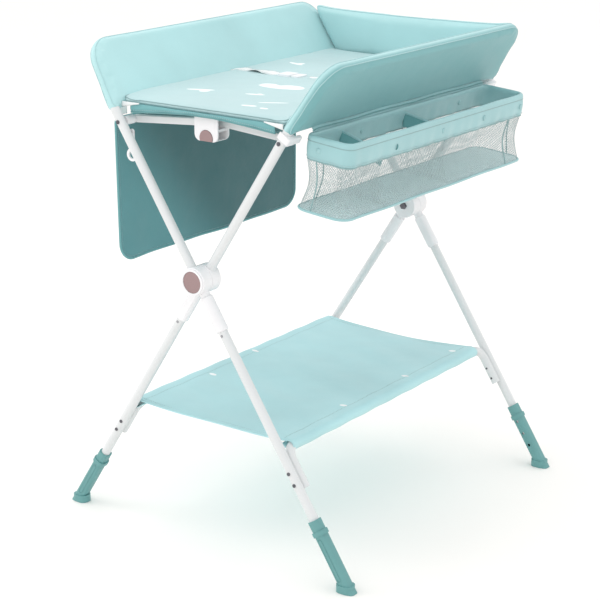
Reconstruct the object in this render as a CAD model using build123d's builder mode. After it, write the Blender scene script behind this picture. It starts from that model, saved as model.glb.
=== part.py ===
"""Folding changing table: scissor frame, locking toggles, padded tray, basket and shelf.

The X axis runs across the scissor, Y along the length of the table and Z up.
The origin is on the floor, under the line through the two hubs.
"""
from build123d import *
from math import acos, atan2, cos, degrees, hypot, radians, sin
import os

os.makedirs("parts", exist_ok=True)

# ---- driving dimensions, in millimetres ----
FOOT_SPREAD = 345.0          # from the middle to where a leg's axis meets the floor
HUB_HEIGHT = 535.0
OUTER_Y = 368.0              # leg plane of the outer frame
INNER_Y = 348.0              # leg plane of the inner frame
TUBE_R = 9.0
TUBE_WALL = 1.2
GAP = 0.05                   # fixed fit between a tube and what grips it
RUN = 0.05                   # running fit of a pivot
PIVOT_R = 3.0
TILT = atan2(FOOT_SPREAD, HUB_HEIGHT)
SIN_T = sin(TILT)
COS_T = cos(TILT)

TOP_BAR = 478.0              # along the leg, from the hub to the U tube's top bar
U_BEND = 46.0
TAPER_AT = 357.0             # above here each side of a U tube leans in by TAPER
TAPER = 18.0
U_END = 60.0                 # the U tube ends this far below the hub
LEG_END = 560.0              # the lower tube ends here, inside the foot
WALL_BOTTOM = 353.0
WALL_TOP = 498.0
WALL_HALF = 11.5             # half the thickness of a padded side wall

HUB_R = 27.0
HUB_FACE = 384.0
HUB_BOLT_R = 4.0
SLEEVE_R = 12.5
SLEEVE_START = 34.0
SLEEVE_END = 105.0

RAIL_AT = 348.7              # along the lower leg, from the hub to the shelf rail
RAIL_END = 430.0
RAIL_BEND = 24.0
RAIL_SHIFT = 18.2            # the rail's end lies beside the leg, one tube further in
RAIL_SCREWS = (394.0, 417.5)

FOOT_TOP = 490.0
FOOT_HOLE = 526.0
HOLE_PITCH = 28.0
FOOT_WIDE = 22.0
FOOT_DEEP = 24.0

LINK_AT = 329.6              # along the upper leg, from the hub to a link's pivot
LINK_RISE = 4.5              # degrees that the locked links rise towards the middle
LINK_TALL = 14.0
LINK_THICK = 11.4
LEFT_LINK_Y = 328.6
RIGHT_LINK_Y = 313.6
LOCK_FRONT = 338.0
LOCK_BACK = 304.0
LOCK_HALF = 27.0

MAT_TOP = 857.0
MAT_BOTTOM = 843.0
MAT_HALF = 183.0
SLING_TOP = 842.4
SLING_BOTTOM = 839.2
SLING_HALF = 180.0
DECK_NEAR = -350.0
DECK_FAR = 334.0

PANEL_X = -232.0
SHELF_Z = 242.0

LINK_X = LINK_AT * SIN_T
LINK_Z = HUB_HEIGHT + LINK_AT * COS_T
LINK_LONG = LINK_X / cos(radians(LINK_RISE))
LOCK_Z = LINK_Z + LINK_LONG * sin(radians(LINK_RISE))


def up_leg(side, y, s):
    """The point s along a leg above the hub; side is -1 for the left top and 1 for the right."""
    return Vector(side * s * SIN_T, y, HUB_HEIGHT + s * COS_T)


def frame_plane(side):
    """The plane of one U frame: local x is Y, local y runs up the leg from the hub."""
    return Plane(origin=(0, 0, HUB_HEIGHT), x_dir=(0, 1, 0), z_dir=(COS_T, 0, -side * SIN_T))


def across(y, x=0.0, z=0.0, facing=1):
    """A plane that faces along Y, with world X to its right."""
    if facing > 0:
        return Plane(origin=(x, y, z), x_dir=(-1, 0, 0), z_dir=(0, 1, 0))
    return Plane(origin=(x, y, z), x_dir=(1, 0, 0), z_dir=(0, -1, 0))


def leg_axis(side, y, s):
    """The plane square to a leg, s above the hub, with its normal up the leg and x along Y."""
    return Plane(origin=up_leg(side, y, s), x_dir=(0, 1, 0), z_dir=(side * SIN_T, 0, COS_T))


def save(part, name):
    part.label = name
    export_step(part, f"parts/{name}.step")


# ---- U frames: one bent tube each, drilled for the hub bolt and the link pivot ----
for name, side, leg_y in (("outer_frame_tube", -1, OUTER_Y), ("inner_frame_tube", 1, INNER_Y)):
    with BuildPart() as u_tube:
        with BuildLine(frame_plane(side)) as u_path:
            FilletPolyline(
                (-leg_y, -U_END), (-leg_y, TAPER_AT), (TAPER - leg_y, TOP_BAR),
                (leg_y - TAPER, TOP_BAR), (leg_y, TAPER_AT), (leg_y, -U_END), radius=U_BEND,
            )
        with BuildSketch(leg_axis(side, -leg_y, -U_END)):
            Circle(TUBE_R)
            Circle(TUBE_R - TUBE_WALL, mode=Mode.SUBTRACT)
        sweep(path=u_path.wires()[0])
        for end in (-1, 1):
            with BuildSketch(across(end * leg_y, 0, HUB_HEIGHT)):
                Circle(HUB_BOLT_R + RUN)
            extrude(amount=TUBE_R + 1, both=True, mode=Mode.SUBTRACT)
            pivot = up_leg(side, end * leg_y, LINK_AT)
            with BuildSketch(across(pivot.Y, pivot.X, pivot.Z)):
                Circle(PIVOT_R + RUN)
            extrude(amount=TUBE_R + 1, both=True, mode=Mode.SUBTRACT)
    save(u_tube.part, name)

# ---- hubs: a shell round each tube, turning against each other on one bolt ----
HUB_MEET = 358.3             # where the two shells of a hub meet
HUB_INSIDE = 333.0
for name, side, leg_y, face, back in (
    ("hub_shell_outer", -1, OUTER_Y, HUB_FACE, HUB_MEET + 0.2),
    ("hub_shell_inner", 1, INNER_Y, HUB_MEET - 0.2, HUB_INSIDE),
):
    with BuildPart() as hub_shell:
        for end in (-1, 1):
            with BuildSketch(across(end * back, 0, HUB_HEIGHT, end)):
                Circle(HUB_R)
            extrude(amount=face - back)
        fillet(hub_shell.edges().filter_by(GeomType.CIRCLE), radius=1.6)
        if side < 0:
            # the raised ring that the hub cap sits in
            for end in (-1, 1):
                with BuildSketch(across(end * (face - 0.5), 0, HUB_HEIGHT, end)):
                    Circle(24.6)
                    Circle(20.8, mode=Mode.SUBTRACT)
                extrude(amount=3.6)
        for end in (-1, 1):
            with BuildSketch(leg_axis(side, end * leg_y, -SLEEVE_START)):
                Circle(9.8)
            extrude(amount=SLEEVE_START - 15.0)
            with BuildSketch(leg_axis(side, end * leg_y, -SLEEVE_START - 1)):
                Circle(TUBE_R + GAP)
            extrude(amount=2 * SLEEVE_START, mode=Mode.SUBTRACT)
            with BuildSketch(across(end * leg_y, 0, HUB_HEIGHT)):
                Circle(HUB_BOLT_R + RUN)
            extrude(amount=20.0, both=True, mode=Mode.SUBTRACT)
    save(hub_shell.part, name)

with BuildPart() as hub_bolts:
    for end in (-1, 1):
        with BuildSketch(across(end * (HUB_INSIDE - 1.0), 0, HUB_HEIGHT, end)):
            Circle(HUB_BOLT_R)
        extrude(amount=HUB_FACE - HUB_INSIDE - 1.0)
        with BuildSketch(across(end * (HUB_INSIDE - 5.0), 0, HUB_HEIGHT, end)):
            RegularPolygon(radius=7.5, side_count=6)
        extrude(amount=4.8)
save(hub_bolts.part, "hub_pivot_bolts")

with BuildPart() as hub_caps:
    for end in (-1, 1):
        with BuildSketch(across(end * (HUB_FACE + 0.05), 0, HUB_HEIGHT, end)):
            Circle(20.6)
        extrude(amount=2.6)
    chamfer(hub_caps.faces().sort_by(Axis.Y)[0].edges(), length=0.9)
    chamfer(hub_caps.faces().sort_by(Axis.Y)[-1].edges(), length=0.9)
save(hub_caps.part, "hub_caps")

# ---- sleeves under the hubs, lower legs, and the screws that hold the shelf rails ----
for name, side, leg_y in (("outer", -1, OUTER_Y), ("inner", 1, INNER_Y)):
    with BuildPart() as sleeves:
        for end in (-1, 1):
            with BuildSketch(leg_axis(side, end * leg_y, -SLEEVE_END)):
                Circle(SLEEVE_R)
            extrude(amount=SLEEVE_END - SLEEVE_START - 0.2)
        chamfer(sleeves.edges().filter_by(GeomType.CIRCLE), length=1.8)
        for end in (-1, 1):
            with BuildSketch(leg_axis(side, end * leg_y, -SLEEVE_END - 1)):
                Circle(TUBE_R + GAP)
            extrude(amount=SLEEVE_END - SLEEVE_START + 3, mode=Mode.SUBTRACT)
            # the side that faces the other frame is flat, so that the legs can pass
            with BuildSketch(across(end * HUB_MEET, 0, HUB_HEIGHT, end * side)):
                Rectangle(300, 300)
            extrude(amount=20.0, mode=Mode.SUBTRACT)
    save(sleeves.part, f"leg_sleeves_{name}")

    with BuildPart() as lower_legs:
        for end in (-1, 1):
            with BuildSketch(leg_axis(side, end * leg_y, -LEG_END)):
                Circle(TUBE_R)
                Circle(TUBE_R - TUBE_WALL, mode=Mode.SUBTRACT)
            extrude(amount=LEG_END - U_END - 0.2)
            for s in RAIL_SCREWS:
                hole = up_leg(side, end * leg_y, -s)
                with BuildSketch(across(hole.Y, hole.X, hole.Z)):
                    Circle(2.1)
                extrude(amount=TUBE_R + 1, both=True, mode=Mode.SUBTRACT)
            hole = up_leg(side, end * leg_y, -FOOT_HOLE)
            with BuildSketch(across(end * (leg_y - TUBE_R - 1), hole.X, hole.Z, end)):
                Circle(3.0)
            extrude(amount=TUBE_R, mode=Mode.SUBTRACT)
            hole = up_leg(side, end * leg_y, -SLEEVE_END - 8)
            with BuildSketch(across(end * (leg_y + 2), hole.X, hole.Z, end)):
                Circle(2.6)
            extrude(amount=TUBE_R, mode=Mode.SUBTRACT)
    save(lower_legs.part, f"lower_legs_{name}")

    with BuildPart() as snap_pins:
        for end in (-1, 1):
            spot = up_leg(side, end * leg_y, -SLEEVE_END - 8)
            with BuildSketch(across(end * (leg_y + 3), spot.X, spot.Z, end)):
                Circle(2.5)
            extrude(amount=TUBE_R - 2.2)
    save(snap_pins.part, f"leg_snap_pins_{name}")

    rail_y = leg_y - RAIL_SHIFT
    with BuildPart() as rail:
        with BuildLine(frame_plane(side)) as rail_path:
            FilletPolyline(
                (-rail_y, -RAIL_END), (-rail_y, -RAIL_AT), (rail_y, -RAIL_AT), (rail_y, -RAIL_END),
                radius=RAIL_BEND,
            )
        with BuildSketch(leg_axis(side, -rail_y, -RAIL_END)):
            Circle(TUBE_R)
            Circle(TUBE_R - TUBE_WALL, mode=Mode.SUBTRACT)
        sweep(path=rail_path.wires()[0])
        for end in (-1, 1):
            for s in RAIL_SCREWS:
                hole = up_leg(side, end * rail_y, -s)
                with BuildSketch(across(hole.Y, hole.X, hole.Z)):
                    Circle(2.1)
                extrude(amount=TUBE_R + 1, both=True, mode=Mode.SUBTRACT)
    save(rail.part, f"shelf_rail_{name}")

    with BuildPart() as rail_screws:
        for end in (-1, 1):
            for s in RAIL_SCREWS:
                spot = up_leg(side, end * leg_y, -s)
                with BuildSketch(across(end * (leg_y + TUBE_R - 1.5), spot.X, spot.Z, end)):
                    Circle(3.4)
                extrude(amount=2.7)
        for end in (-1, 1):
            with BuildSketch(leg_axis(side, end * leg_y, -RAIL_END)):
                Circle(TUBE_R + 0.03)
            extrude(amount=RAIL_END - RAIL_SCREWS[0] + 10, mode=Mode.SUBTRACT)
            for s in RAIL_SCREWS:
                spot = up_leg(side, end * leg_y, -s)
                with BuildSketch(across(end * (rail_y - TUBE_R - 1.5), spot.X, spot.Z, end)):
                    Circle(2.0)
                extrude(amount=RAIL_SHIFT + 2 * TUBE_R + 1.8)
    save(rail_screws.part, f"rail_screws_{name}")

# ---- feet: a moulded sleeve that slides on each lower leg, held by a snap button ----
FEET = (
    ("near_left", 1, -INNER_Y), ("far_left", 1, INNER_Y),
    ("near_right", -1, -OUTER_Y), ("far_right", -1, OUTER_Y),
)
for name, side, leg_y in FEET:
    end = 1 if leg_y > 0 else -1
    with BuildPart() as foot:
        with BuildSketch(leg_axis(side, leg_y, -FOOT_TOP - 160)):
            RectangleRounded(FOOT_DEEP, FOOT_WIDE, 8.0)
        extrude(amount=160)
        with BuildSketch(leg_axis(side, leg_y, -FOOT_TOP - 30)):
            RectangleRounded(FOOT_DEEP + 3.4, FOOT_WIDE + 5.0, 9.0)
        extrude(amount=9.0)
        pad_x = -side * (FOOT_SPREAD - 9.0)
        with BuildSketch(Plane(origin=(pad_x, leg_y, 0), x_dir=(1, 0, 0), z_dir=(0, 0, 1))):
            RectangleRounded(34.0, 28.0, 12.0)
        extrude(amount=15.0)
        split(bisect_by=Plane.XY, keep=Keep.TOP)
        with BuildSketch(leg_axis(side, leg_y, -LEG_END - 2 * HOLE_PITCH - 2)):
            Circle(TUBE_R + 0.25)
        extrude(amount=160, mode=Mode.SUBTRACT)
        groove = Plane(
            origin=up_leg(side, leg_y - end * 5.5, -FOOT_TOP + 1),
            x_dir=(0, 1, 0), z_dir=(-side * SIN_T, 0, -COS_T),
        )
        with BuildSketch(groove):
            Rectangle(11.0, 6.4)
        extrude(amount=FOOT_HOLE - FOOT_TOP + 2 * HOLE_PITCH + 5, mode=Mode.SUBTRACT)
        for step in range(3):
            hole = up_leg(side, leg_y, -FOOT_HOLE - step * HOLE_PITCH)
            with BuildSketch(across(end * (abs(leg_y) - 16), hole.X, hole.Z, end)):
                Circle(3.2)
            extrude(amount=8.0, mode=Mode.SUBTRACT)
        for face in (-1, 1):
            if face == -end:
                continue
            middle = up_leg(side, leg_y + face * (FOOT_DEEP / 2 - 0.8), -FOOT_TOP - 78)
            with BuildSketch(Plane(origin=middle, x_dir=(side * SIN_T, 0, COS_T), z_dir=(0, face, 0))):
                SlotOverall(86, 9.0)
                SlotOverall(83, 6.4, mode=Mode.SUBTRACT)
            extrude(amount=2.0, mode=Mode.SUBTRACT)
    save(foot.part, f"foot_{name}")

    with BuildPart() as button:
        spot = up_leg(side, leg_y, -FOOT_HOLE)
        with BuildSketch(across(leg_y - end * 2.0, spot.X, spot.Z, -end)):
            Circle(2.75)
        extrude(amount=8.6)
    save(button.part, f"foot_button_{name}")

# ---- locking links: two half bars side by side, a lock housing and its button at each end ----
for name, end in (("near", -1), ("far", 1)):
    for hand, side, link_y in (("left", -1, LEFT_LINK_Y), ("right", 1, RIGHT_LINK_Y)):
        plane = Plane(
            origin=(0, end * link_y, LOCK_Z),
            x_dir=(side * cos(radians(LINK_RISE)), 0, -sin(radians(LINK_RISE))),
            z_dir=(0, -side, 0),
        )
        with BuildPart() as link:
            with BuildSketch(plane):
                with Locations((LINK_LONG / 2, 0)):
                    SlotCenterToCenter(LINK_LONG, LINK_TALL)
            extrude(amount=LINK_THICK / 2, both=True)
            fillet(link.edges().filter_by(Axis.Y, reverse=True), radius=2.2)
            with BuildSketch(plane):
                with Locations((0, 0), (LINK_LONG, 0)):
                    Circle(PIVOT_R + RUN)
            extrude(amount=LINK_THICK, both=True, mode=Mode.SUBTRACT)
        save(link.part, f"{name}_{hand}_link")

    lock_face = Plane(origin=(0, end * LOCK_FRONT, LOCK_Z), x_dir=(-end, 0, 0), z_dir=(0, end, 0))
    with BuildPart() as lock:
        with BuildSketch(lock_face):
            with Locations((0, -12)):
                RectangleRounded(2 * LOCK_HALF, 46, 12.5)
            RectangleRounded(2 * LOCK_HALF, 22, 6.0)
        extrude(amount=-(LOCK_FRONT - LOCK_BACK))
        with BuildSketch(lock_face.offset(-3.0)):
            with Locations((0, 0)):
                Rectangle(2 * LOCK_HALF + 2, 28)
            with Locations((0, -5)):
                Rectangle(2 * LOCK_HALF + 2, 54)
        extrude(amount=-(LOCK_FRONT - LOCK_BACK - 6.0), mode=Mode.SUBTRACT)
        with BuildSketch(lock_face.offset(-2.9)):
            for x in (-21.5, 21.5):
                with Locations((x, -14.0)):
                    Rectangle(5.0, 5.0)
        extrude(amount=-(LOCK_FRONT - LOCK_BACK - 5.8))
        with BuildSketch(lock_face.offset(1.0)):
            with BuildLine():
                Line((-14.2, -36), (14.2, -36))
                ThreePointArc((14.2, -36), (0, -13.5), (-14.2, -36))
            make_face()
        extrude(amount=-14.0, mode=Mode.SUBTRACT)
        with BuildSketch(lock_face.offset(-1.2)):
            Circle(PIVOT_R)
        extrude(amount=-4.0, mode=Mode.SUBTRACT)
    save(lock.part, f"{name}_lock_housing")

    with BuildPart() as lock_pin:
        with BuildSketch(lock_face.offset(-1.4)):
            Circle(PIVOT_R - 0.02)
        extrude(amount=-(LOCK_FRONT - LEFT_LINK_Y + LINK_THICK / 2 - 1.0))
    save(lock_pin.part, f"{name}_lock_pin")

    with BuildPart() as release:
        with BuildSketch(lock_face.offset(1.0)):
            with BuildLine():
                Line((-13.7, -34.6), (13.7, -34.6))
                ThreePointArc((13.7, -34.6), (0, -14.1), (-13.7, -34.6))
            make_face()
        extrude(amount=-9.0)
    save(release.part, f"{name}_release_button")

for name, side, leg_y, link_y in (("outer", -1, OUTER_Y, LEFT_LINK_Y), ("inner", 1, INNER_Y, RIGHT_LINK_Y)):
    with BuildPart() as pivots:
        for end in (-1, 1):
            spot = up_leg(side, end * leg_y, LINK_AT)
            with BuildSketch(across(end * (leg_y + TUBE_R), spot.X, spot.Z, end)):
                Circle(3.9)
            extrude(amount=1.4)
            with BuildSketch(across(end * (link_y - LINK_THICK / 2 - 1.8), spot.X, spot.Z, end)):
                Circle(PIVOT_R)
            extrude(amount=leg_y + TUBE_R - link_y + LINK_THICK / 2 + 1.9)
            with BuildSketch(across(end * (link_y - LINK_THICK / 2 - 3.4), spot.X, spot.Z, end)):
                RegularPolygon(radius=5.4, side_count=6)
            extrude(amount=3.0)
    save(pivots.part, f"link_pivots_{name}")

    with BuildPart() as spacers:
        for end in (-1, 1):
            spot = up_leg(side, end * leg_y, LINK_AT)
            with BuildSketch(across(end * (link_y + LINK_THICK / 2 + 0.3), spot.X, spot.Z, end)):
                Circle(8.5)
                Circle(PIVOT_R + RUN, mode=Mode.SUBTRACT)
            extrude(amount=leg_y - TUBE_R - link_y - LINK_THICK / 2 - 0.6)
    save(spacers.part, f"link_spacers_{name}")

# ---- padded side walls, over the top of each U frame ----
for name, side, leg_y in (("left_wall", -1, OUTER_Y), ("right_wall", 1, INNER_Y)):
    plane = frame_plane(side)
    with BuildPart() as wall:
        with BuildSketch(plane):
            wide = leg_y + TUBE_R + 2
            with BuildLine():
                Polyline(
                    (-wide, WALL_BOTTOM), (wide, WALL_BOTTOM), (wide - TAPER, WALL_TOP), (TAPER - wide, WALL_TOP),
                    close=True,
                )
            wall_face = make_face()
            fillet(wall_face.vertices().group_by(Axis.Y)[-1], radius=50.0)
            fillet(wall_face.vertices().group_by(Axis.Y)[0], radius=10.0)
        extrude(amount=WALL_HALF, both=True)
        with BuildLine(plane) as channel:
            FilletPolyline(
                (-leg_y, WALL_BOTTOM - 12), (-leg_y, TAPER_AT), (TAPER - leg_y, TOP_BAR),
                (leg_y - TAPER, TOP_BAR), (leg_y, TAPER_AT), (leg_y, WALL_BOTTOM - 12), radius=U_BEND,
            )
        with BuildSketch(leg_axis(side, -leg_y, WALL_BOTTOM - 12)):
            Circle(TUBE_R + 0.1)
        sweep(path=channel.wires()[0], mode=Mode.SUBTRACT)
    save(wall.part, name)

# ---- padded back wall, between the far ends of the side walls ----
with BuildPart() as back_wall:
    foot_x = (MAT_BOTTOM - HUB_HEIGHT) * SIN_T / COS_T - WALL_HALF / COS_T - 1.0
    head_x = (945.0 - HUB_HEIGHT) * SIN_T / COS_T - WALL_HALF / COS_T - 1.0
    with BuildSketch(across(357.0, facing=-1)):
        with BuildLine():
            Polyline((-foot_x, MAT_BOTTOM), (foot_x, MAT_BOTTOM), (head_x, 945.0), (-head_x, 945.0), close=True)
        make_face()
    extrude(amount=21.0)
save(back_wall.part, "back_wall")

# ---- tray: two mat halves on two sling halves, which fold down along the middle ----
for hand, side in (("left", -1), ("right", 1)):
    with BuildPart() as mat:
        # the outer edge leans with the side wall
        with BuildSketch(across(DECK_FAR, facing=-1)):
            with BuildLine():
                Polyline(
                    (side * 0.2, MAT_BOTTOM), (side * MAT_HALF, MAT_BOTTOM), (side * (MAT_HALF + 8.0), MAT_TOP),
                    (side * 0.2, MAT_TOP), close=True,
                )
            make_face()
        extrude(amount=DECK_FAR - DECK_NEAR)
    save(mat.part, f"mat_{hand}")
    with BuildPart() as sling:
        with BuildSketch(Plane.XY.offset(SLING_BOTTOM)):
            with Locations((side * (SLING_HALF / 2 + 0.2), (DECK_NEAR + DECK_FAR) / 2)):
                Rectangle(SLING_HALF - 0.4, DECK_FAR - DECK_NEAR)
        extrude(amount=SLING_TOP - SLING_BOTTOM)
        with BuildSketch(Plane.XY.offset(SLING_BOTTOM - 9.0)):
            with Locations((side * 110.0, DECK_NEAR + 1.5)):
                Rectangle(100.0, 3.0)
        extrude(amount=9.5)
    save(sling.part, f"sling_{hand}")

# ---- safety strap across the mat, in two halves joined by a buckle ----
STRAP_Y = -12.0
BUCKLE_X = -45.0
with BuildPart() as strap_left:
    with BuildSketch(Plane.XY.offset(MAT_TOP + 0.2)):
        with Locations(((-MAT_HALF + BUCKLE_X - 27.0) / 2 - 1.0, STRAP_Y)):
            Rectangle(MAT_HALF + BUCKLE_X - 27.0, 25.0)
    extrude(amount=1.4)
save(strap_left.part, "strap_left")

with BuildPart() as strap_right:
    with BuildSketch(Plane.XY.offset(MAT_TOP + 0.2)):
        with Locations(((MAT_HALF + BUCKLE_X + 27.0) / 2, STRAP_Y)):
            Rectangle(MAT_HALF - BUCKLE_X - 28.0, 25.0)
    extrude(amount=1.4)
save(strap_right.part, "strap_right")

with BuildPart() as buckle:
    with BuildSketch(Plane.XY.offset(MAT_TOP + 0.2)):
        with Locations((BUCKLE_X - 10.5, STRAP_Y)):
            RectangleRounded(31.0, 34.0, 5.0)
    extrude(amount=8.0)
    with BuildSketch(Plane.XY.offset(MAT_TOP + 0.2)):
        with Locations((BUCKLE_X + 16.0, STRAP_Y)):
            RectangleRounded(20.0, 32.0, 4.0)
    extrude(amount=7.0)
    with BuildSketch(Plane.XY.offset(MAT_TOP + 1.2)):
        with Locations((BUCKLE_X - 12.0, STRAP_Y)):
            Rectangle(20.0, 22.0)
    extrude(amount=4.4, mode=Mode.SUBTRACT)
save(buckle.part, "strap_buckle")

# ---- storage hook, on the inner side of the near left leg ----
HOOK_FACE = OUTER_Y - TUBE_R - 1.0
HOOK_LONG = 42.0
hook_at = up_leg(-1, -HOOK_FACE, 304.0)
with BuildPart() as hook:
    with BuildSketch(across(1.5 - HOOK_FACE, hook_at.X, hook_at.Z)):
        SlotCenterPoint((0, -HOOK_LONG / 2 + 4), (0, 2), 10.0)
        with Locations((0, -HOOK_LONG)):
            Circle(12.5)
            Circle(7.5, mode=Mode.SUBTRACT)
        with Locations((-10.5, 9.0 - HOOK_LONG)):
            Rectangle(12.0, 10.0, rotation=-40, mode=Mode.SUBTRACT)
        Circle(2.6, mode=Mode.SUBTRACT)
    extrude(amount=4.0)
save(hook.part, "storage_hook")

with BuildPart() as hook_rivet:
    with BuildSketch(across(-OUTER_Y + TUBE_R - 1.8, hook_at.X, hook_at.Z)):
        Circle(2.5)
    extrude(amount=9.6)
    with BuildSketch(across(6.0 - HOOK_FACE, hook_at.X, hook_at.Z)):
        Circle(4.4)
    extrude(amount=1.6)
    with BuildSketch(leg_axis(-1, -OUTER_Y, 282.0)):
        Circle(TUBE_R + 0.02)
    extrude(amount=44.0, mode=Mode.SUBTRACT)
save(hook_rivet.part, "hook_rivet")

# ---- hanging organiser on the left side: a panel, two pockets and its hangers ----
PANEL_NEAR = -325.0
PANEL_FAR = 252.0
PANEL_TOP = 805.0
PANEL_LOW = 522.0
PANEL_THICK = 3.0
panel_side = Plane(origin=(PANEL_X, 0, 0), x_dir=(0, 1, 0), z_dir=(1, 0, 0))
with BuildPart() as organiser:
    with BuildSketch(panel_side):
        with BuildLine():
            FilletPolyline(
                (PANEL_NEAR, PANEL_LOW), (PANEL_FAR, PANEL_LOW), (PANEL_FAR, PANEL_TOP), (PANEL_NEAR, PANEL_TOP),
                radius=36.0, close=True,
            )
        make_face()
        with Locations(((PANEL_NEAR + PANEL_FAR) / 2, PANEL_TOP - 20)):
            Rectangle(PANEL_FAR - PANEL_NEAR, 40.0)
    extrude(amount=PANEL_THICK / 2, both=True)
save(organiser.part, "organiser_panel")

POCKET_DEEP = 26.0
with BuildPart() as pockets:
    for middle in (PANEL_NEAR + 152, PANEL_FAR - 152):
        with BuildSketch(Plane.XY.offset(PANEL_LOW + 28)):
            with Locations((PANEL_X - PANEL_THICK / 2 - POCKET_DEEP / 2 - 0.1, middle)):
                Rectangle(POCKET_DEEP, 250.0)
        extrude(amount=150.0)
        with BuildSketch(Plane.XY.offset(PANEL_LOW + 30.5)):
            with Locations((PANEL_X - PANEL_THICK / 2 - POCKET_DEEP / 2 - 0.1, middle)):
                Rectangle(POCKET_DEEP - 4.0, 246.0)
        extrude(amount=160.0, mode=Mode.SUBTRACT)
save(pockets.part, "organiser_pockets")

with BuildPart() as hangers:
    for y in (PANEL_NEAR + 22, (PANEL_NEAR + PANEL_FAR) / 2, PANEL_FAR - 22):
        with BuildSketch(across(y)):
            with BuildLine():
                Polyline(
                    (-PANEL_X - 1.3, PANEL_TOP + 3.2), (-PANEL_X + 1.3, PANEL_TOP + 3.2),
                    (-PANEL_X + 1.3, PANEL_TOP + 22.0), (222.0, 846.0), (219.0, 845.0),
                    (-PANEL_X - 1.3, PANEL_TOP + 20.0), close=True,
                )
            make_face()
        extrude(amount=12.0, both=True)
save(hangers.part, "organiser_hangers")

# ---- basket on the right side ----
BASKET_IN = 204.5
BASKET_OUT = 305.0
BASKET_Y = 312.0             # half its length
BASKET_SET = -6.0            # its middle along the table
DIVIDERS_AT = (-205.0, 8.0)
BAND_TOP = 827.0
BAND_LOW = 784.0
FLOOR_Z = 692.0
BASKET_HANG = Axis((204.5, 0, 823.0), (0, 1, 0))
BASKET_TILT = 6.0            # the basket hangs from its inner rim, so its outer rim drops
basket_mid = (BASKET_IN + BASKET_OUT) / 2


def basket_outline(grow, radius):
    with Locations((basket_mid, BASKET_SET)):
        RectangleRounded(BASKET_OUT - BASKET_IN + 2 * grow, 2 * (BASKET_Y + grow), radius)


WIRE_R = 3.0
rim_path = (
    Plane.XY.offset(BAND_TOP - 7.0) * Pos(basket_mid, BASKET_SET)
    * RectangleRounded(BASKET_OUT - BASKET_IN - 10, 2 * BASKET_Y - 10, 15.0)
).face().outer_wire()
rim_start = Plane(origin=rim_path @ 0, z_dir=rim_path % 0)
with BuildPart() as rim_wire:
    with BuildSketch(rim_start):
        Circle(WIRE_R)
    sweep(path=rim_path)
save(rim_wire.part.rotate(BASKET_HANG, BASKET_TILT), "basket_rim_wire")

with BuildPart() as band:
    with BuildSketch(Plane.XY.offset(BAND_LOW)):
        basket_outline(0.0, 20.0)
    extrude(amount=BAND_TOP - BAND_LOW)
    fillet(band.faces().sort_by(Axis.Z)[-1].edges(), radius=3.0)
    with BuildSketch(Plane.XY.offset(BAND_LOW - 1)):
        basket_outline(-1.6, 18.4)
    extrude(amount=BAND_TOP - BAND_LOW - 10.6, mode=Mode.SUBTRACT)
    with BuildSketch(Plane.XY.offset(BAND_TOP - 12)):
        basket_outline(-10.0, 10.0)
    extrude(amount=14.0, mode=Mode.SUBTRACT)
    with BuildSketch(rim_start):
        Circle(WIRE_R + 0.02)
    sweep(path=rim_path, mode=Mode.SUBTRACT)
save(band.part.rotate(BASKET_HANG, BASKET_TILT), "basket_band")

with BuildPart() as mesh_walls:
    for grow, mode in ((0.0, Mode.ADD), (-1.4, Mode.SUBTRACT)):
        with BuildSketch(Plane.XY.offset(BAND_LOW - 0.2)):
            basket_outline(grow, 18.0)
        with BuildSketch(Plane.XY.offset(FLOOR_Z + 2.2)):
            basket_outline(grow + 2.0, 18.0)
        loft(mode=mode)
save(mesh_walls.part.rotate(BASKET_HANG, BASKET_TILT), "basket_mesh")

with BuildPart() as basket_floor:
    with BuildSketch(Plane.XY.offset(FLOOR_Z - 2.0)):
        basket_outline(6.0, 22.0)
    extrude(amount=4.0)
    fillet(basket_floor.edges().group_by(Axis.Z)[0], radius=1.5)
save(basket_floor.part.rotate(BASKET_HANG, BASKET_TILT), "basket_floor")

with BuildPart() as dividers:
    for y in DIVIDERS_AT:
        with BuildSketch(Plane.XY.offset(FLOOR_Z + 2.4)):
            with Locations((basket_mid, y)):
                Rectangle(BASKET_OUT - BASKET_IN - 6.0, 2.0)
        extrude(amount=BAND_LOW + 20 - FLOOR_Z)
save(dividers.part.rotate(BASKET_HANG, BASKET_TILT), "basket_dividers")

CLIP_AT = 339.0              # along the upper leg of the inner frame
with BuildPart() as clips:
    for end in (-1, 1):
        grip = Plane(
            origin=up_leg(1, end * INNER_Y, CLIP_AT), x_dir=(COS_T, 0, -SIN_T), z_dir=(SIN_T, 0, COS_T),
        )
        with BuildSketch(grip):
            with Locations((6.5, 0)):
                RectangleRounded(21.0, 24.6, 4.0)
            with Locations((-4.0, 0)):
                Rectangle(8.0, 24.6)
            Circle(TUBE_R + 0.25, mode=Mode.SUBTRACT)
            with Locations((-10, 0)):
                Rectangle(20.0, 2 * (TUBE_R + 0.25), mode=Mode.SUBTRACT)
            with Locations((13.5, -end * 14.0)):
                Rectangle(7.0, 24.0)
        extrude(amount=WALL_BOTTOM - CLIP_AT - 1.0)
    # cut back to just clear of the tilted basket
    with BuildSketch(Plane((204.3, 0, 823.0), x_dir=(0, 1, 0), z_dir=(cos(radians(BASKET_TILT)), 0, -sin(radians(BASKET_TILT))))):
        Rectangle(800, 90)
    extrude(amount=40.0, mode=Mode.SUBTRACT)
save(clips.part, "basket_clips")

# ---- lower shelf: one cloth between the two rails ----
with BuildPart() as shelf:
    shelf_half = RAIL_AT * SIN_T - TUBE_R / COS_T - 1.2
    with BuildSketch(Plane.XY.offset(SHELF_Z - 1.5)):
        with Locations((0, -4.0)):
            Rectangle(2 * shelf_half, 650.0)
    extrude(amount=3.0)
save(shelf.part, "shelf_cloth")

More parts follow.
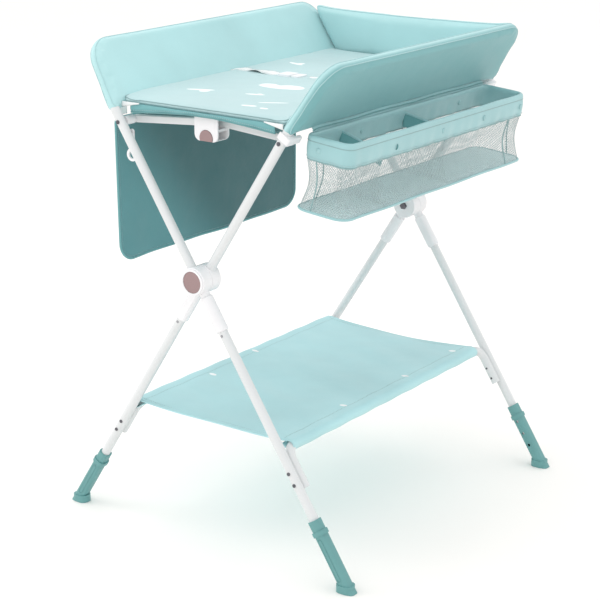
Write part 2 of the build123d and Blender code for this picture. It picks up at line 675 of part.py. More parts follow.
folded_half = TILT - radians(25.0)
fold_rise = degrees(acos(LINK_AT * sin(folded_half) / LINK_LONG))
deck_reach = hypot(188.0, MAT_BOTTOM - HUB_HEIGHT)
deck_lean = atan2(188.0, MAT_BOTTOM - HUB_HEIGHT) - radians(25.0)
deck_drop = degrees(acos(deck_reach * sin(deck_lean) / 188.0))
print(f"tilt {degrees(TILT):.4f}")
print(f"link pivots at x {LINK_X:.3f} z {LINK_Z:.3f}, lock at z {LOCK_Z:.3f}")
print(f"a link turns {fold_rise + LINK_RISE - 25.0:.3f} degrees against its own leg")
print(f"the lock turns {fold_rise + LINK_RISE:.3f} degrees against the left link")
print(f"a tray half turns {deck_drop - 25.0:.3f}, the halves {2 * deck_drop:.3f}")
print(f"hook pivot x {hook_at.X:.3f} z {hook_at.Z:.3f}")
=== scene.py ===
"""Fabric, padding and finishes of a folding changing table, laid over its CAD frame.

X runs across the scissor with the basket at +X, Y along the table with the open
end at -Y, Z up, in metres. Every new piece is worked out with numpy on a grid.
"""
import math

import bpy
import numpy as np
from bpy.props import FloatProperty, FloatVectorProperty, PointerProperty
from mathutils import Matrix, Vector
from mathutils.bvhtree import BVHTree


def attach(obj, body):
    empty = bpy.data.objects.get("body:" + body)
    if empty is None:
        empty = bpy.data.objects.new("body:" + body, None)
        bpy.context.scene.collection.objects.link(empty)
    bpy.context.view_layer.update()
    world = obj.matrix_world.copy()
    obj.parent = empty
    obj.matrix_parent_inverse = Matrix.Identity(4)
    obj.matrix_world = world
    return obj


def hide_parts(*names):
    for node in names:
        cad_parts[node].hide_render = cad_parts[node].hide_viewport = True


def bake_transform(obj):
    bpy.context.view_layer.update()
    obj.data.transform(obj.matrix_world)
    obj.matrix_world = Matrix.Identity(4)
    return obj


bl_info = {
    "name": "Folding changing table",
    "version": (1, 0, 0),
    "blender": (4, 5, 0),
    "location": "View3D > Sidebar > Nursery",
    "description": "Builds the soft parts and the finishes of a folding changing table",
    "category": "Object",
}

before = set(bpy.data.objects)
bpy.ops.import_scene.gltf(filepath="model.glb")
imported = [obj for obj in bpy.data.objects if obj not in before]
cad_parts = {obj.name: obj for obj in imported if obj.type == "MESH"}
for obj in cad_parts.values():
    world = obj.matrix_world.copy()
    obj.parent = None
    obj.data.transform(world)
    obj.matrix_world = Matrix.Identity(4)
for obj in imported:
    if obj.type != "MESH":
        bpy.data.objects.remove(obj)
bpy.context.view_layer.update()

HUB = 0.535                      # height of the line through the two hubs
LEAN = math.atan2(0.345, HUB)    # how far each leg leans from upright
SIN, COS = math.sin(LEAN), math.cos(LEAN)
BASKET_MID = 0.25475             # middle of the basket across the table, before it tilts
BASKET_SET = -0.006              # and along it
BASKET_HALF = (0.05025, 0.312)
BAND_TOP, BAND_LOW, BASKET_FLOOR = 0.827, 0.784, 0.692
TUBE = {-1: 0.368, 1: 0.348}       # Y of the legs of the left and right U frame
TAPER_UP, TUBE_TOP, TUBE_BEND, TAPER = 0.357, 0.478, 0.046, 0.018
AIR_FRAMES = 20                  # cloth simulation of a pad
MAT_REACH = 0.1845               # beyond this the mat lies on the leaning walls
HANG_X, HANG_Z, HANG_TURN = 0.2045, 0.823, math.radians(6.0)


# ---------------------------------------------------------------- colours and nodes
def srgb(code, alpha=1.0):
    """A six-digit sRGB hex colour as linear light: c/12.92 under 0.04045, else ((c+0.055)/1.055)^2.4."""
    parts = [int(code[i:i + 2], 16) / 255 for i in (0, 2, 4)]
    return tuple(c / 12.92 if c <= 0.04045 else ((c + 0.055) / 1.055) ** 2.4 for c in parts) + (alpha,)


def add(tree, kind, inputs=None, **settings):
    """Adds one node: settings are its own, inputs are socket values or the sockets that feed them."""
    made = tree.nodes.new(kind)
    for key, value in settings.items():
        setattr(made, key, value)
    for key, value in (inputs or {}).items():
        if isinstance(value, bpy.types.NodeSocket):
            tree.links.new(value, made.inputs[key])
        else:
            made.inputs[key].default_value = value
    return made


def surface(name, inputs):
    """A new material with one Principled shader; returns it, its tree, its shader and its Object coordinates."""
    made = bpy.data.materials.new(name)
    made.use_nodes = True
    tree = made.node_tree
    tree.nodes.clear()
    shader = add(tree, "ShaderNodeBsdfPrincipled", inputs)
    add(tree, "ShaderNodeOutputMaterial", {"Surface": shader.outputs[0]})
    place = add(tree, "ShaderNodeTexCoord").outputs["Object"]
    return made, tree, shader, place


def shade_of(tone, share):
    """A tone made darker by a share."""
    return tuple(c * share for c in tone[:3]) + (1.0,)


def bumped(tree, shader, height, strength, distance, under=None):
    """Feeds the shader's normal from a height, over another bump if there is one."""
    inputs = {"Height": height, "Strength": strength, "Distance": distance}
    if under is not None:
        inputs["Normal"] = under
    bump = add(tree, "ShaderNodeBump", inputs).outputs[0]
    tree.links.new(bump, shader.inputs["Normal"])
    return bump


def worn(tree, shader, place, scale, low, high):
    """Roughness that drifts between low and high with a fine noise."""
    noise = add(tree, "ShaderNodeTexNoise", {"Vector": place, "Scale": scale, "Detail": 4.0})
    limits = {"Value": noise.outputs["Fac"], "From Min": 0.3, "From Max": 0.7, "To Min": low, "To Max": high}
    tree.links.new(add(tree, "ShaderNodeMapRange", limits).outputs[0], shader.inputs["Roughness"])


def mottle(tree, shader, place, light, dark, scale, amount):
    """Base colour that drifts between two close tones with a soft noise."""
    noise = add(tree, "ShaderNodeTexNoise", {"Vector": place, "Scale": scale, "Detail": 3.0})
    spread = add(tree, "ShaderNodeMapRange", {"Value": noise.outputs["Fac"], "From Min": 0.3, "From Max": 0.7, "To Max": amount})
    mix = add(tree, "ShaderNodeMix", {"Factor": spread.outputs[0]}, data_type="RGBA")
    mix.inputs["A"].default_value = light
    mix.inputs["B"].default_value = dark
    tree.links.new(mix.outputs["Result"], shader.inputs["Base Color"])
    return mix.outputs["Result"]


def powder_coat(name, tone):
    """Powder-coated steel tube: cured in an oven, so satin with a faint orange peel about 1.5 mm across."""
    made, tree, shader, place = surface(name, {"Coat Weight": 0.25, "Coat Roughness": 0.22, "IOR": 1.5})
    mottle(tree, shader, place, tone, shade_of(tone, 0.93), 9.0, 0.6)
    worn(tree, shader, place, 60.0, 0.30, 0.42)
    peel = add(tree, "ShaderNodeTexNoise", {"Vector": place, "Scale": 650.0, "Detail": 1.0})
    bumped(tree, shader, peel.outputs["Fac"], 0.12, 0.0004)
    return made


def moulded(name, tone, rough, grit):
    """Injection-moulded plastic with a spark-eroded texture; grit is its grain in metres, drawn coarse enough to show."""
    made, tree, shader, place = surface(name, {"IOR": 1.5, "Coat Weight": 0.06, "Coat Roughness": 0.3})
    mottle(tree, shader, place, tone, shade_of(tone, 0.88), 14.0, 0.7)
    worn(tree, shader, place, 90.0, rough - 0.06, rough + 0.08)
    grain = add(tree, "ShaderNodeTexNoise", {"Vector": place, "Scale": 1.0 / grit, "Detail": 2.0})
    bumped(tree, shader, grain.outputs["Fac"], 0.18, 0.0005)
    return made


def zinc(name, tone):
    """Zinc-plated screw steel: dull, with a faint brushed streak."""
    made, tree, shader, place = surface(name, {"Metallic": 1.0})
    mottle(tree, shader, place, tone, shade_of(tone, 0.6), 120.0, 0.8)
    worn(tree, shader, place, 300.0, 0.34, 0.5)
    return made


def coated_cloth(name, tone, turn=0.0, thread=0.0011, rough=0.5, folds=0.5, prints=(), painted_shade=None):
    """Polyester cloth with a soft polyurethane coat: a fine plain weave shows through, and it creases in long soft
    folds.

    turn leans the weave with the panel about Y. thread is the spacing in metres, twice the real one so that it shows.
    prints are white ellipses (x, y, z, half width, half height, degrees), drawn flat on the cloth's top.
    The last argument, (direction, start, end, tone), is painted shade: the cloth takes on that darker tone as the
    distance along the direction passes from start to end.
    """
    made, tree, shader, place = surface(name, {
        "Sheen Weight": 0.25, "Sheen Roughness": 0.45, "IOR": 1.45, "Specular IOR Level": 0.42,
    })
    colour = mottle(tree, shader, place, tone, shade_of(tone, 0.84), 5.0, 0.7)
    # painted shade: a darker tone laid over the cloth along one direction
    if painted_shade:
        direction, start, end, painted_shade_tone = painted_shade
        along_it = add(tree, "ShaderNodeVectorMath", {0: place, 1: direction}, operation="DOT_PRODUCT").outputs["Value"]
        limits = {"Value": along_it, "From Min": start, "From Max": end}
        share = add(tree, "ShaderNodeMapRange", limits, interpolation_type="SMOOTHSTEP").outputs[0]
        both = add(tree, "ShaderNodeMix", {"Factor": share}, data_type="RGBA")
        tree.links.new(colour, both.inputs["A"])
        both.inputs["B"].default_value = painted_shade_tone
        colour = both.outputs["Result"]
        tree.links.new(colour, shader.inputs["Base Color"])
    lean = add(tree, "ShaderNodeMapping", {"Vector": place, "Rotation": (0.0, turn, 0.0)}).outputs[0]
    warp = add(tree, "ShaderNodeTexWave", {"Vector": lean, "Scale": 0.314 / thread}, bands_direction="Y")
    weft = add(tree, "ShaderNodeTexWave", {"Vector": lean, "Scale": 0.314 / thread}, bands_direction="DIAGONAL")
    weave = add(tree, "ShaderNodeMath", {0: warp.outputs["Fac"], 1: weft.outputs["Fac"]}, operation="MULTIPLY")
    crease = add(tree, "ShaderNodeTexNoise", {"Vector": lean, "Scale": 16.0, "Detail": 4.0, "Roughness": 0.45})
    soft = bumped(tree, shader, crease.outputs["Fac"], folds, 0.004)
    bumped(tree, shader, weave.outputs[0], 0.16, 0.0003, soft)
    worn(tree, shader, place, 30.0, rough - 0.05, rough + 0.07)
    if prints:
        mask = None
        for x, y, z, wide, tall, angle in prints:
            spot = add(tree, "ShaderNodeMapping", {
                "Vector": place, "Location": (x, y, z), "Rotation": (0.0, 0.0, math.radians(angle)), "Scale": (wide, tall, 0.05),
            }, vector_type="TEXTURE")
            far = add(tree, "ShaderNodeVectorMath", {0: spot.outputs[0]}, operation="LENGTH")
            edge = add(tree, "ShaderNodeMapRange", {"Value": far.outputs["Value"], "From Min": 1.0, "From Max": 0.88}).outputs[0]
            mask = edge if mask is None else add(tree, "ShaderNodeMath", {0: mask, 1: edge}, operation="MAXIMUM").outputs[0]
        ink = add(tree, "ShaderNodeMix", {"Factor": mask, "A": colour}, data_type="RGBA")
        ink.inputs["B"].default_value = srgb("F7FAFA")
        tree.links.new(colour, ink.inputs["A"])
        tree.links.new(ink.outputs["Result"], shader.inputs["Base Color"])
    return made


def webbing_cloth(name, tone):
    """Woven polypropylene strap: a herringbone of 2 mm ribs across its width."""
    made, tree, shader, place = surface(name, {"Sheen Weight": 0.3, "Sheen Roughness": 0.5, "IOR": 1.49})
    mottle(tree, shader, place, tone, shade_of(tone, 0.86), 25.0, 0.8)
    ribs = add(tree, "ShaderNodeTexWave", {"Vector": place, "Scale": 157.0, "Distortion": 0.6, "Detail": 1.0}, bands_direction="X")
    cross = add(tree, "ShaderNodeTexWave", {"Vector": place, "Scale": 210.0}, bands_direction="Y")
    both = add(tree, "ShaderNodeMath", {0: ribs.outputs["Fac"], 1: cross.outputs["Fac"]}, operation="ADD")
    bumped(tree, shader, both.outputs[0], 0.4, 0.0006)
    worn(tree, shader, place, 80.0, 0.62, 0.75)
    return made


def knit_thread(name, tone):
    """Warp-knitted polyester net: each thread is a strand about 1 mm wide, slightly see-through at its edge."""
    made, tree, shader, place = surface(name, {"Sheen Weight": 0.2, "Sheen Roughness": 0.5, "IOR": 1.5})
    mottle(tree, shader, place, tone, shade_of(tone, 0.82), 60.0, 0.8)
    worn(tree, shader, place, 200.0, 0.5, 0.66)
    return made


# ---------------------------------------------------------------- surfaces
def on_leg(side, y, up, out):
    """Points in the plane of one U frame: up the leg from the hub, and out square to it, away from the tray."""
    y, up, out = np.broadcast_arrays(np.asarray(y, float), np.asarray(up, float), np.asarray(out, float))
    return np.stack((side * (up * SIN + out * COS), y, HUB + up * COS - out * SIN), axis=-1)


def mesh_object(name, points, faces, finish, smooth=True):
    """A mesh object at the origin from an array of points and rows of point numbers."""
    mesh = bpy.data.meshes.new(name)
    mesh.from_pydata(np.asarray(points, float).reshape(-1, 3).tolist(), [], faces)
    mesh.polygons.foreach_set("use_smooth", np.full(len(mesh.polygons), smooth))
    mesh.materials.append(finish)
    mesh.update()
    made = bpy.data.objects.new(name, mesh)
    bpy.context.collection.objects.link(made)
    return made


def grid_faces(rows, cols, round_rows=False, round_cols=False, start=0):
    """Quads of a grid of points, closed on itself along rows or columns where asked."""
    number = start + np.arange(rows * cols).reshape(rows, cols)
    if round_rows:
        number = np.concatenate((number, number[:1]), 0)
    if round_cols:
        number = np.concatenate((number, number[:, :1]), 1)
    return np.stack((number[:-1, :-1], number[1:, :-1], number[1:, 1:], number[:-1, 1:]), -1).reshape(-1, 4)


def skin(name, points, finish, round_rows=False, round_cols=False, cap_rows=False, flip=False, smooth=True):
    """One surface from a rows x cols grid; cap_rows closes the first and last row with a flat face."""
    rows, cols = points.shape[:2]
    faces = grid_faces(rows, cols, round_rows, round_cols)
    if flip:
        faces = faces[:, ::-1]
    faces = faces.tolist()
    if cap_rows:
        first = list(range(cols))
        last = list(range((rows - 1) * cols, rows * cols))
        faces += [first, last[::-1]] if not flip else [first[::-1], last]
    return mesh_object(name, points, faces, finish, smooth)


def unit(vectors):
    """Vectors made one long."""
    return vectors / (np.linalg.norm(vectors, axis=-1, keepdims=True) + 1e-12)


def lengths(path):
    """Distance along a path at each of its points."""
    return np.concatenate(([0.0], np.cumsum(np.linalg.norm(np.diff(path, axis=0), axis=1))))


def sampled(path, length, at):
    """A path's points at given distances along it."""
    return np.stack([np.interp(at, length, path[:, k]) for k in range(path.shape[1])], 1)


def thicken(piece, thick, offset=0.0):
    """Gives a sheet its thickness; offset 1 grows it out, -1 in, 0 both ways."""
    solid = piece.modifiers.new("thick", "SOLIDIFY")
    solid.thickness, solid.offset = thick, offset


def along(path, closed):
    """Unit tangents of a path: the difference of each point's neighbours."""
    return unit(np.roll(path, -1, 0) - np.roll(path, 1, 0) if closed else np.gradient(path, axis=0))


def rod(name, path, radius, facing, finish, closed=False, sides=10, flat=1.0):
    """A round cord: a circle square to the path at each of its points, squeezed by flat along its facing."""
    path = np.asarray(path, float)
    facing = np.broadcast_to(np.asarray(facing, float), path.shape)
    run = along(path, closed)
    across = unit(np.cross(run, facing))
    up = np.cross(across, run)
    turn = np.linspace(0, 2 * np.pi, sides, endpoint=False)[None, :, None]
    points = path[:, None] + radius * (np.cos(turn) * across[:, None] + flat * np.sin(turn) * up[:, None])
    return skin(name, points, finish, round_rows=closed, round_cols=True, cap_rows=not closed)


def stitches(name, path, facing, finish, closed=False, pitch=0.0045, long=0.0030, thick=0.0007):
    """A row of stitches: one long octahedron each, pitch apart along the path's length."""
    path = np.asarray(path, float)
    facing = np.broadcast_to(np.asarray(facing, float), path.shape)
    if closed:
        path, facing = np.concatenate((path, path[:1])), np.concatenate((facing, facing[:1]))
    length = lengths(path)
    at = np.arange(pitch, length[-1] - pitch / 2, pitch)
    centre = sampled(path, length, at)
    up = sampled(facing, length, at)
    run = unit(sampled(path, length, at + 0.001) - centre)
    side = np.cross(run, up)
    corner = np.stack((run * long / 2, -run * long / 2, side * thick, -side * thick, up * thick, -up * thick), 1)
    points = centre[:, None] + corner
    eight = np.array([[0, 2, 4], [2, 1, 4], [1, 3, 4], [3, 0, 4], [2, 0, 5], [1, 2, 5], [3, 1, 5], [0, 3, 5]])
    faces = (np.arange(len(at))[:, None, None] * 6 + eight[None, :, ::-1]).reshape(-1, 3)
    return mesh_object(name, points, faces.tolist(), finish)


def rounded(half_x, half_y, corners, steps):
    """A rounded rectangle as rows of x, y and the outward direction, closed on its first point; a radius for each corner."""
    turn = np.radians(np.linspace(0, 90, steps))[None, :] + np.radians(np.arange(4) * 90)[:, None]
    corner = np.array(corners)[:, None]
    x = np.array([1, -1, -1, 1])[:, None] * (half_x - corner) + corner * np.cos(turn)
    y = np.array([1, 1, -1, -1])[:, None] * (half_y - corner) + corner * np.sin(turn)
    rows = np.stack([grid.ravel() for grid in (x, y, np.cos(turn), np.sin(turn))], 1)
    return np.concatenate((rows, rows[:1]))


def rounded_loop(mid_x, half_x, half_y, corner, count):
    """Evenly spaced points round a rounded rectangle, their outward directions, and the length round it."""
    rows = rounded(half_x, half_y, (corner,) * 4, 25) + np.array((mid_x, 0, 0, 0))
    length = lengths(rows[:, :2])
    even = sampled(rows, length, np.linspace(0, length[-1], count, endpoint=False))
    return even[:, :2], unit(even[:, 2:]), length[-1]


def rounded_profile(half_long, half_wide, high, low, count):
    """Evenly spaced points round a rectangle, its top corners of radius high and its bottom ones of radius low."""
    rows = rounded(half_long, half_wide, (high, high, low, low), 20)[:, :2]
    length = lengths(rows)
    return sampled(rows, length, np.linspace(0, length[-1], count, endpoint=False))


def pillow(half_long, half_wide, corner_high, corner_low, roll, thick, crown, rows, cols):
    """Two skins sewn together along a rounded rectangle.

    p and q run from -1 to 1, crowded towards the rim by a sine. A corner's square is pressed into a quarter disc by
    x sqrt(1 - y^2/2), y sqrt(1 - x^2/2). Half the thickness rises from the rim as a quarter circle over roll, plus a
    crown of (1 - p^2)(1 - q^2). Returns long, wide and half-thickness grids.
    """
    p = np.sin(np.linspace(-1, 1, rows) * np.pi / 2)[:, None] * np.ones((1, cols))
    q = np.sin(np.linspace(-1, 1, cols) * np.pi / 2)[None, :] * np.ones((rows, 1))
    corner = np.where(q > 0, corner_high, corner_low)
    a, b = np.abs(p) * half_long, np.abs(q) * half_wide
    in_x = np.clip(a - (half_long - corner), 0, None) / corner
    in_y = np.clip(b - (half_wide - corner), 0, None) / corner
    a += corner * in_x * (np.sqrt(1 - in_y ** 2 / 2) - 1)
    b += corner * in_y * (np.sqrt(1 - in_x ** 2 / 2) - 1)
    qx, qy = a - (half_long - corner), b - (half_wide - corner)
    inside = corner - np.hypot(np.clip(qx, 0, None), np.clip(qy, 0, None)) - np.minimum(np.maximum(qx, qy), 0)
    rise = np.sqrt(np.clip(1 - (1 - np.clip(inside / roll, 0, 1)) ** 2, 0, 1))
    half = (thick + crown * (1 - p ** 2) * (1 - q ** 2)) * rise
    return np.sign(p) * a, np.sign(q) * b, half


def sewn(name, front, back, finish):
    """One closed mesh from two grids that share their rim, front facing out."""
    rows, cols = front.shape[:2]
    number = np.arange(rows * cols).reshape(rows, cols)
    other = number.copy()
    other[1:-1, 1:-1] = rows * cols + np.arange((rows - 2) * (cols - 2)).reshape(rows - 2, cols - 2)
    quads = np.stack((number[:-1, :-1], number[1:, :-1], number[1:, 1:], number[:-1, 1:]), -1).reshape(-1, 4)
    under = np.stack((other[:-1, :-1], other[:-1, 1:], other[1:, 1:], other[1:, :-1]), -1).reshape(-1, 4)
    points = np.concatenate((front.reshape(-1, 3), back[1:-1, 1:-1].reshape(-1, 3)))
    return mesh_object(name, points, np.concatenate((quads, under)).tolist(), finish)


def coordinates(mesh):
    """All the points of a mesh as one array."""
    co = np.empty(len(mesh.vertices) * 3)
    mesh.vertices.foreach_get("co", co)
    return co.reshape(-1, 3)


def puffed(pad, voxel, pressure, cap, limit=None):
    """Fills a pad as its stuffing does: even voxels, cloth with air inside for a few frames, and no point further than cap.

    limit takes and returns the array of points, and presses them flat where the pad rests on something.
    """
    finish = pad.data.materials[0]
    remesh = pad.modifiers.new("voxels", "REMESH")
    remesh.mode = "VOXEL"
    remesh.voxel_size = voxel
    graph = bpy.context.evaluated_depsgraph_get()
    mesh = bpy.data.meshes.new_from_object(pad.evaluated_get(graph))
    pad.modifiers.clear()
    pad.data = mesh
    mesh.materials.clear()
    mesh.materials.append(finish)
    rest = coordinates(mesh)
    scene = bpy.context.scene
    cloth = pad.modifiers.new("air", "CLOTH")
    for key, value in (
        ("use_pressure", True), ("uniform_pressure_force", pressure), ("quality", 4), ("mass", 0.3),
        ("tension_stiffness", 18), ("compression_stiffness", 18), ("bending_stiffness", 0.8),
    ):
        setattr(cloth.settings, key, value)
    cloth.settings.effector_weights.gravity = 0
    cloth.point_cache.frame_start, cloth.point_cache.frame_end = 1, AIR_FRAMES
    for number in range(1, AIR_FRAMES + 1):
        scene.frame_set(number)
    graph = bpy.context.evaluated_depsgraph_get()
    moved = coordinates(pad.evaluated_get(graph).data)
    pad.modifiers.clear()
    scene.frame_set(1)
    if len(moved) == len(rest):
        step = moved - rest
        far = np.linalg.norm(step, axis=1, keepdims=True)
        rest = rest + step * np.minimum(1.0, cap / np.maximum(far, 1e-9))
    if limit is not None:
        rest = limit(rest)
    mesh.vertices.foreach_set("co", rest.ravel())
    mesh.polygons.foreach_set("use_smooth", np.full(len(mesh.polygons), True))
    mesh.update()
    finer = pad.modifiers.new("finer", "SUBSURF")
    finer.levels = finer.render_levels = 1
    return pad


def onto(path, pad, lift):
    """Moves each point of a path to the nearest place on a pad, lift out from it; returns points and directions."""
    mesh = pad.data
    tree = BVHTree.FromPolygons([v.co for v in mesh.vertices], [p.vertices[:] for p in mesh.polygons])
    hits = [tree.find_nearest(Vector(p)) for p in path.tolist()]
    both = np.array([[*hit[0], *hit[1]] for hit in hits])
    for _ in range(3):
        both = (np.roll(both, 1, 0) + 2 * both + np.roll(both, -1, 0)) / 4
    out = unit(both[:, 3:])
    return both[:, :3] + out * lift, out


def net(name, place, u0, v, slope, finish, wide=0.0008, thick=0.0006):
    """Knitted net: two families of threads, u = u0 + slope v and u = u0 - slope v, each a diamond-section strand.

    place(u, v) gives the points of the cloth. A strand's sides lie along its surface and its back and front along its normal.
    """
    strips = []
    for sign in (1, -1):
        u = u0[:, None] + sign * slope * v[None, :]
        w = v[None, :] * np.ones_like(u)
        mid = place(u, w)
        normal = unit(np.cross(place(u + 1e-4, w) - mid, place(u, w + 1e-3) - mid)) * thick / 2
        side = np.cross(unit(np.gradient(mid, axis=1)), normal) * wide / thick
        strips.append(np.stack((mid + side, mid + normal, mid - side, mid - normal), 2))
    points = np.concatenate(strips)
    lines, steps = points.shape[:2]
    one = grid_faces(steps, 4, round_cols=True)
    ends = np.array([[3, 2, 1, 0], [(steps - 1) * 4 + k for k in range(4)]])
    one = np.concatenate((one[:, ::-1], ends[:, ::-1]))
    faces = (np.arange(lines)[:, None, None] * steps * 4 + one[None]).reshape(-1, 4)
    return mesh_object(name, points, faces.tolist(), finish)


def dome(name, centres, facings, radius, tall, finish):
    """Round snap heads: rings r sin(a), tall cos(a) from the rim to the crown, over a flat back, all in one mesh."""
    rings, round_ = 6, 20
    a = np.linspace(np.pi / 2, 0.12, rings)
    turn = np.linspace(0, 2 * np.pi, round_, endpoint=False)
    points, faces = [], []
    for centre, facing in zip(np.asarray(centres, float), np.asarray(facings, float)):
        facing = unit(facing)
        side = unit(np.cross(facing, (0.0, 0.3, 1.0)))
        up = np.cross(facing, side)
        circle = np.cos(turn)[:, None] * side + np.sin(turn)[:, None] * up
        shape = centre + radius * np.sin(a)[:, None, None] * circle + tall * np.cos(a)[:, None, None] * facing
        start = sum(len(p) for p in points)
        points.append(shape.reshape(-1, 3))
        quads = grid_faces(rings, round_, round_cols=True, start=start)[:, ::-1].tolist()
        first = list(range(start, start + round_))
        last = list(range(start + (rings - 1) * round_, start + rings * round_))
        faces += quads + [first[::-1], last]
    return mesh_object(name, np.concatenate(points), faces, finish)


def finish_of(name):
    """A finish made by the finishes operator."""
    return bpy.data.materials[name]


def settle(piece, body, slot, *nodes):
    """The piece rides a body and stands for CAD nodes; slot is not used."""
    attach(piece, body)
    if nodes:
        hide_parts(*nodes)
    return piece


# ---------------------------------------------------------------- what a user would change
def length_of(label, about, metres):
    """A length property."""
    return FloatProperty(name=label, description=about, default=metres, unit="LENGTH", subtype="DISTANCE")


class NurserySizes(bpy.types.PropertyGroup):
    """Sizes of the soft parts."""
    wall_near_left: length_of("Left wall near end", "Y of the near end of the left wall", -0.3805)
    wall_near_right: length_of("Right wall near end", "Y of the near end of the right wall", -0.3605)
    wall_top: length_of("Wall top", "How far up the leg from the hub a side wall reaches", 0.5000)
    wall_low: length_of("Wall bottom", "How far up the leg from the hub a side wall starts", 0.3545)
    wall_taper: length_of("Wall taper", "How far each end of a side wall leans in from bottom to top", 0.018)
    wall_thick: length_of("Wall thickness", "Thickness of a side wall at its edges", 0.0240)
    mat_half: length_of("Mat half width", "From the middle crease to a side wall", 0.1965)
    mat_crown: length_of("Mat crown", "How much the mat rises in the middle", 0.0025)
    shelf_sag: length_of("Shelf sag", "How far the shelf cloth hangs between its rails", 0.0040)
    net_cell: length_of("Net cell", "Distance between the threads of the basket's net", 0.0056)


def tone(label, code, about):
    """A colour property whose default is a hex code."""
    return FloatVectorProperty(name=label, description=about, subtype="COLOR", size=3, min=0, max=1, default=srgb(code)[:3])


class NurseryColours(bpy.types.PropertyGroup):
    """Colours of the finishes."""
    enamel: tone("Tube enamel", "DCDFE0", "Powder coat of every tube")
    plastic: tone("White plastic", "F0F0F2", "Hub shells, sleeves and locks")
    mauve: tone("Mauve plastic", "9C8282", "Hub caps and release buttons")
    foot: tone("Foot plastic", "679E9E", "Moulded feet")
    wall: tone("Wall cloth", "B4DDDF", "Coated cloth of the three walls")
    mat: tone("Mat cloth", "B6D3D5", "Coated cloth of the mat")
    hem: tone("Hem cloth", "6FA9AC", "Sling and hem under the mat")
    panel: tone("Organiser cloth", "5F999E", "Hanging organiser")
    band: tone("Basket band", "9FCACD", "Satin cloth round the basket's rim")
    board: tone("Basket bottom", "DDF2F3", "Bottom of the basket")
    net: tone("Net thread", "C0D0D1", "Threads of the basket's net")
    shelf: tone("Shelf cloth", "B6E2E6", "Cloth of the lower shelf")
    strap: tone("Strap", "F2F5F5", "Safety strap")


def linear(colour):
    return tuple(colour) + (1.0,)


# ---------------------------------------------------------------- operators
class NURSERY_OT_stage(bpy.types.Operator):
    """Pale floor, soft studio light and the camera"""
    bl_idname = "nursery.stage"
    bl_label = "Stage"

    def execute(self, context):
        scene = context.scene
        camera = bpy.data.objects.new("camera", bpy.data.cameras.new("camera"))
        context.collection.objects.link(camera)
        turn, dip = math.radians(36.09), math.radians(17.12)
        back = Vector((math.sin(turn) * math.cos(dip), -math.cos(turn) * math.cos(dip), math.sin(dip)))
        camera.location = (1.9473, -2.7198, 1.4421)
        camera.rotation_euler = (-back).to_track_quat("-Z", "Y").to_euler()
        camera.data.sensor_width = 36.0
        camera.data.lens = 103.2
        camera.data.shift_y = -0.0055
        camera.data.clip_end = 60.0
        scene.camera = camera
        scene.view_settings.view_transform = "Standard"
        # a flat floor that fills the view
        floor_y, floor_x = np.meshgrid(np.linspace(-9.0, 9.0, 40), np.linspace(-9.0, 9.0, 8))
        grid = np.stack((floor_x, floor_y, np.full_like(floor_x, -0.0004)), -1)
        paper, tree, shader, place = surface("matt_studio_paper", {"Roughness": 0.9, "Specular IOR Level": 0.1})
        mottle(tree, shader, place, srgb("FFFBF8"), srgb("FDF9F6"), 1.5, 0.6)
        floor = skin("floor", grid, paper, flip=True)
        world = bpy.data.worlds.new("studio")
        world.use_nodes = True
        world.node_tree.nodes["Background"].inputs["Color"].default_value = srgb("FFFFFF")
        world.node_tree.nodes["Background"].inputs["Strength"].default_value = 1.06
        scene.world = world
        for name, place, aim, size, power in (
            ("key", (-2.6, -1.6, 2.6), (0.0, 0.0, 0.7), 1.8, 22.0),
            ("fill", (0.6, -3.2, 2.4), (0.0, 0.0, 0.6), 2.2, 8.0),
            ("top", (-0.3, 0.4, 3.4), (0.0, 0.0, 0.7), 2.0, 12.0),
        ):
            lamp = bpy.data.lights.new(name, "AREA")
            lamp.size = size
            lamp.energy = power
            holder = bpy.data.objects.new(name, lamp)
            context.collection.objects.link(holder)
            holder.location = place
            holder.rotation_euler = (Vector(aim) - Vector(place)).to_track_quat("-Z", "Y").to_euler()
        return {"FINISHED"}


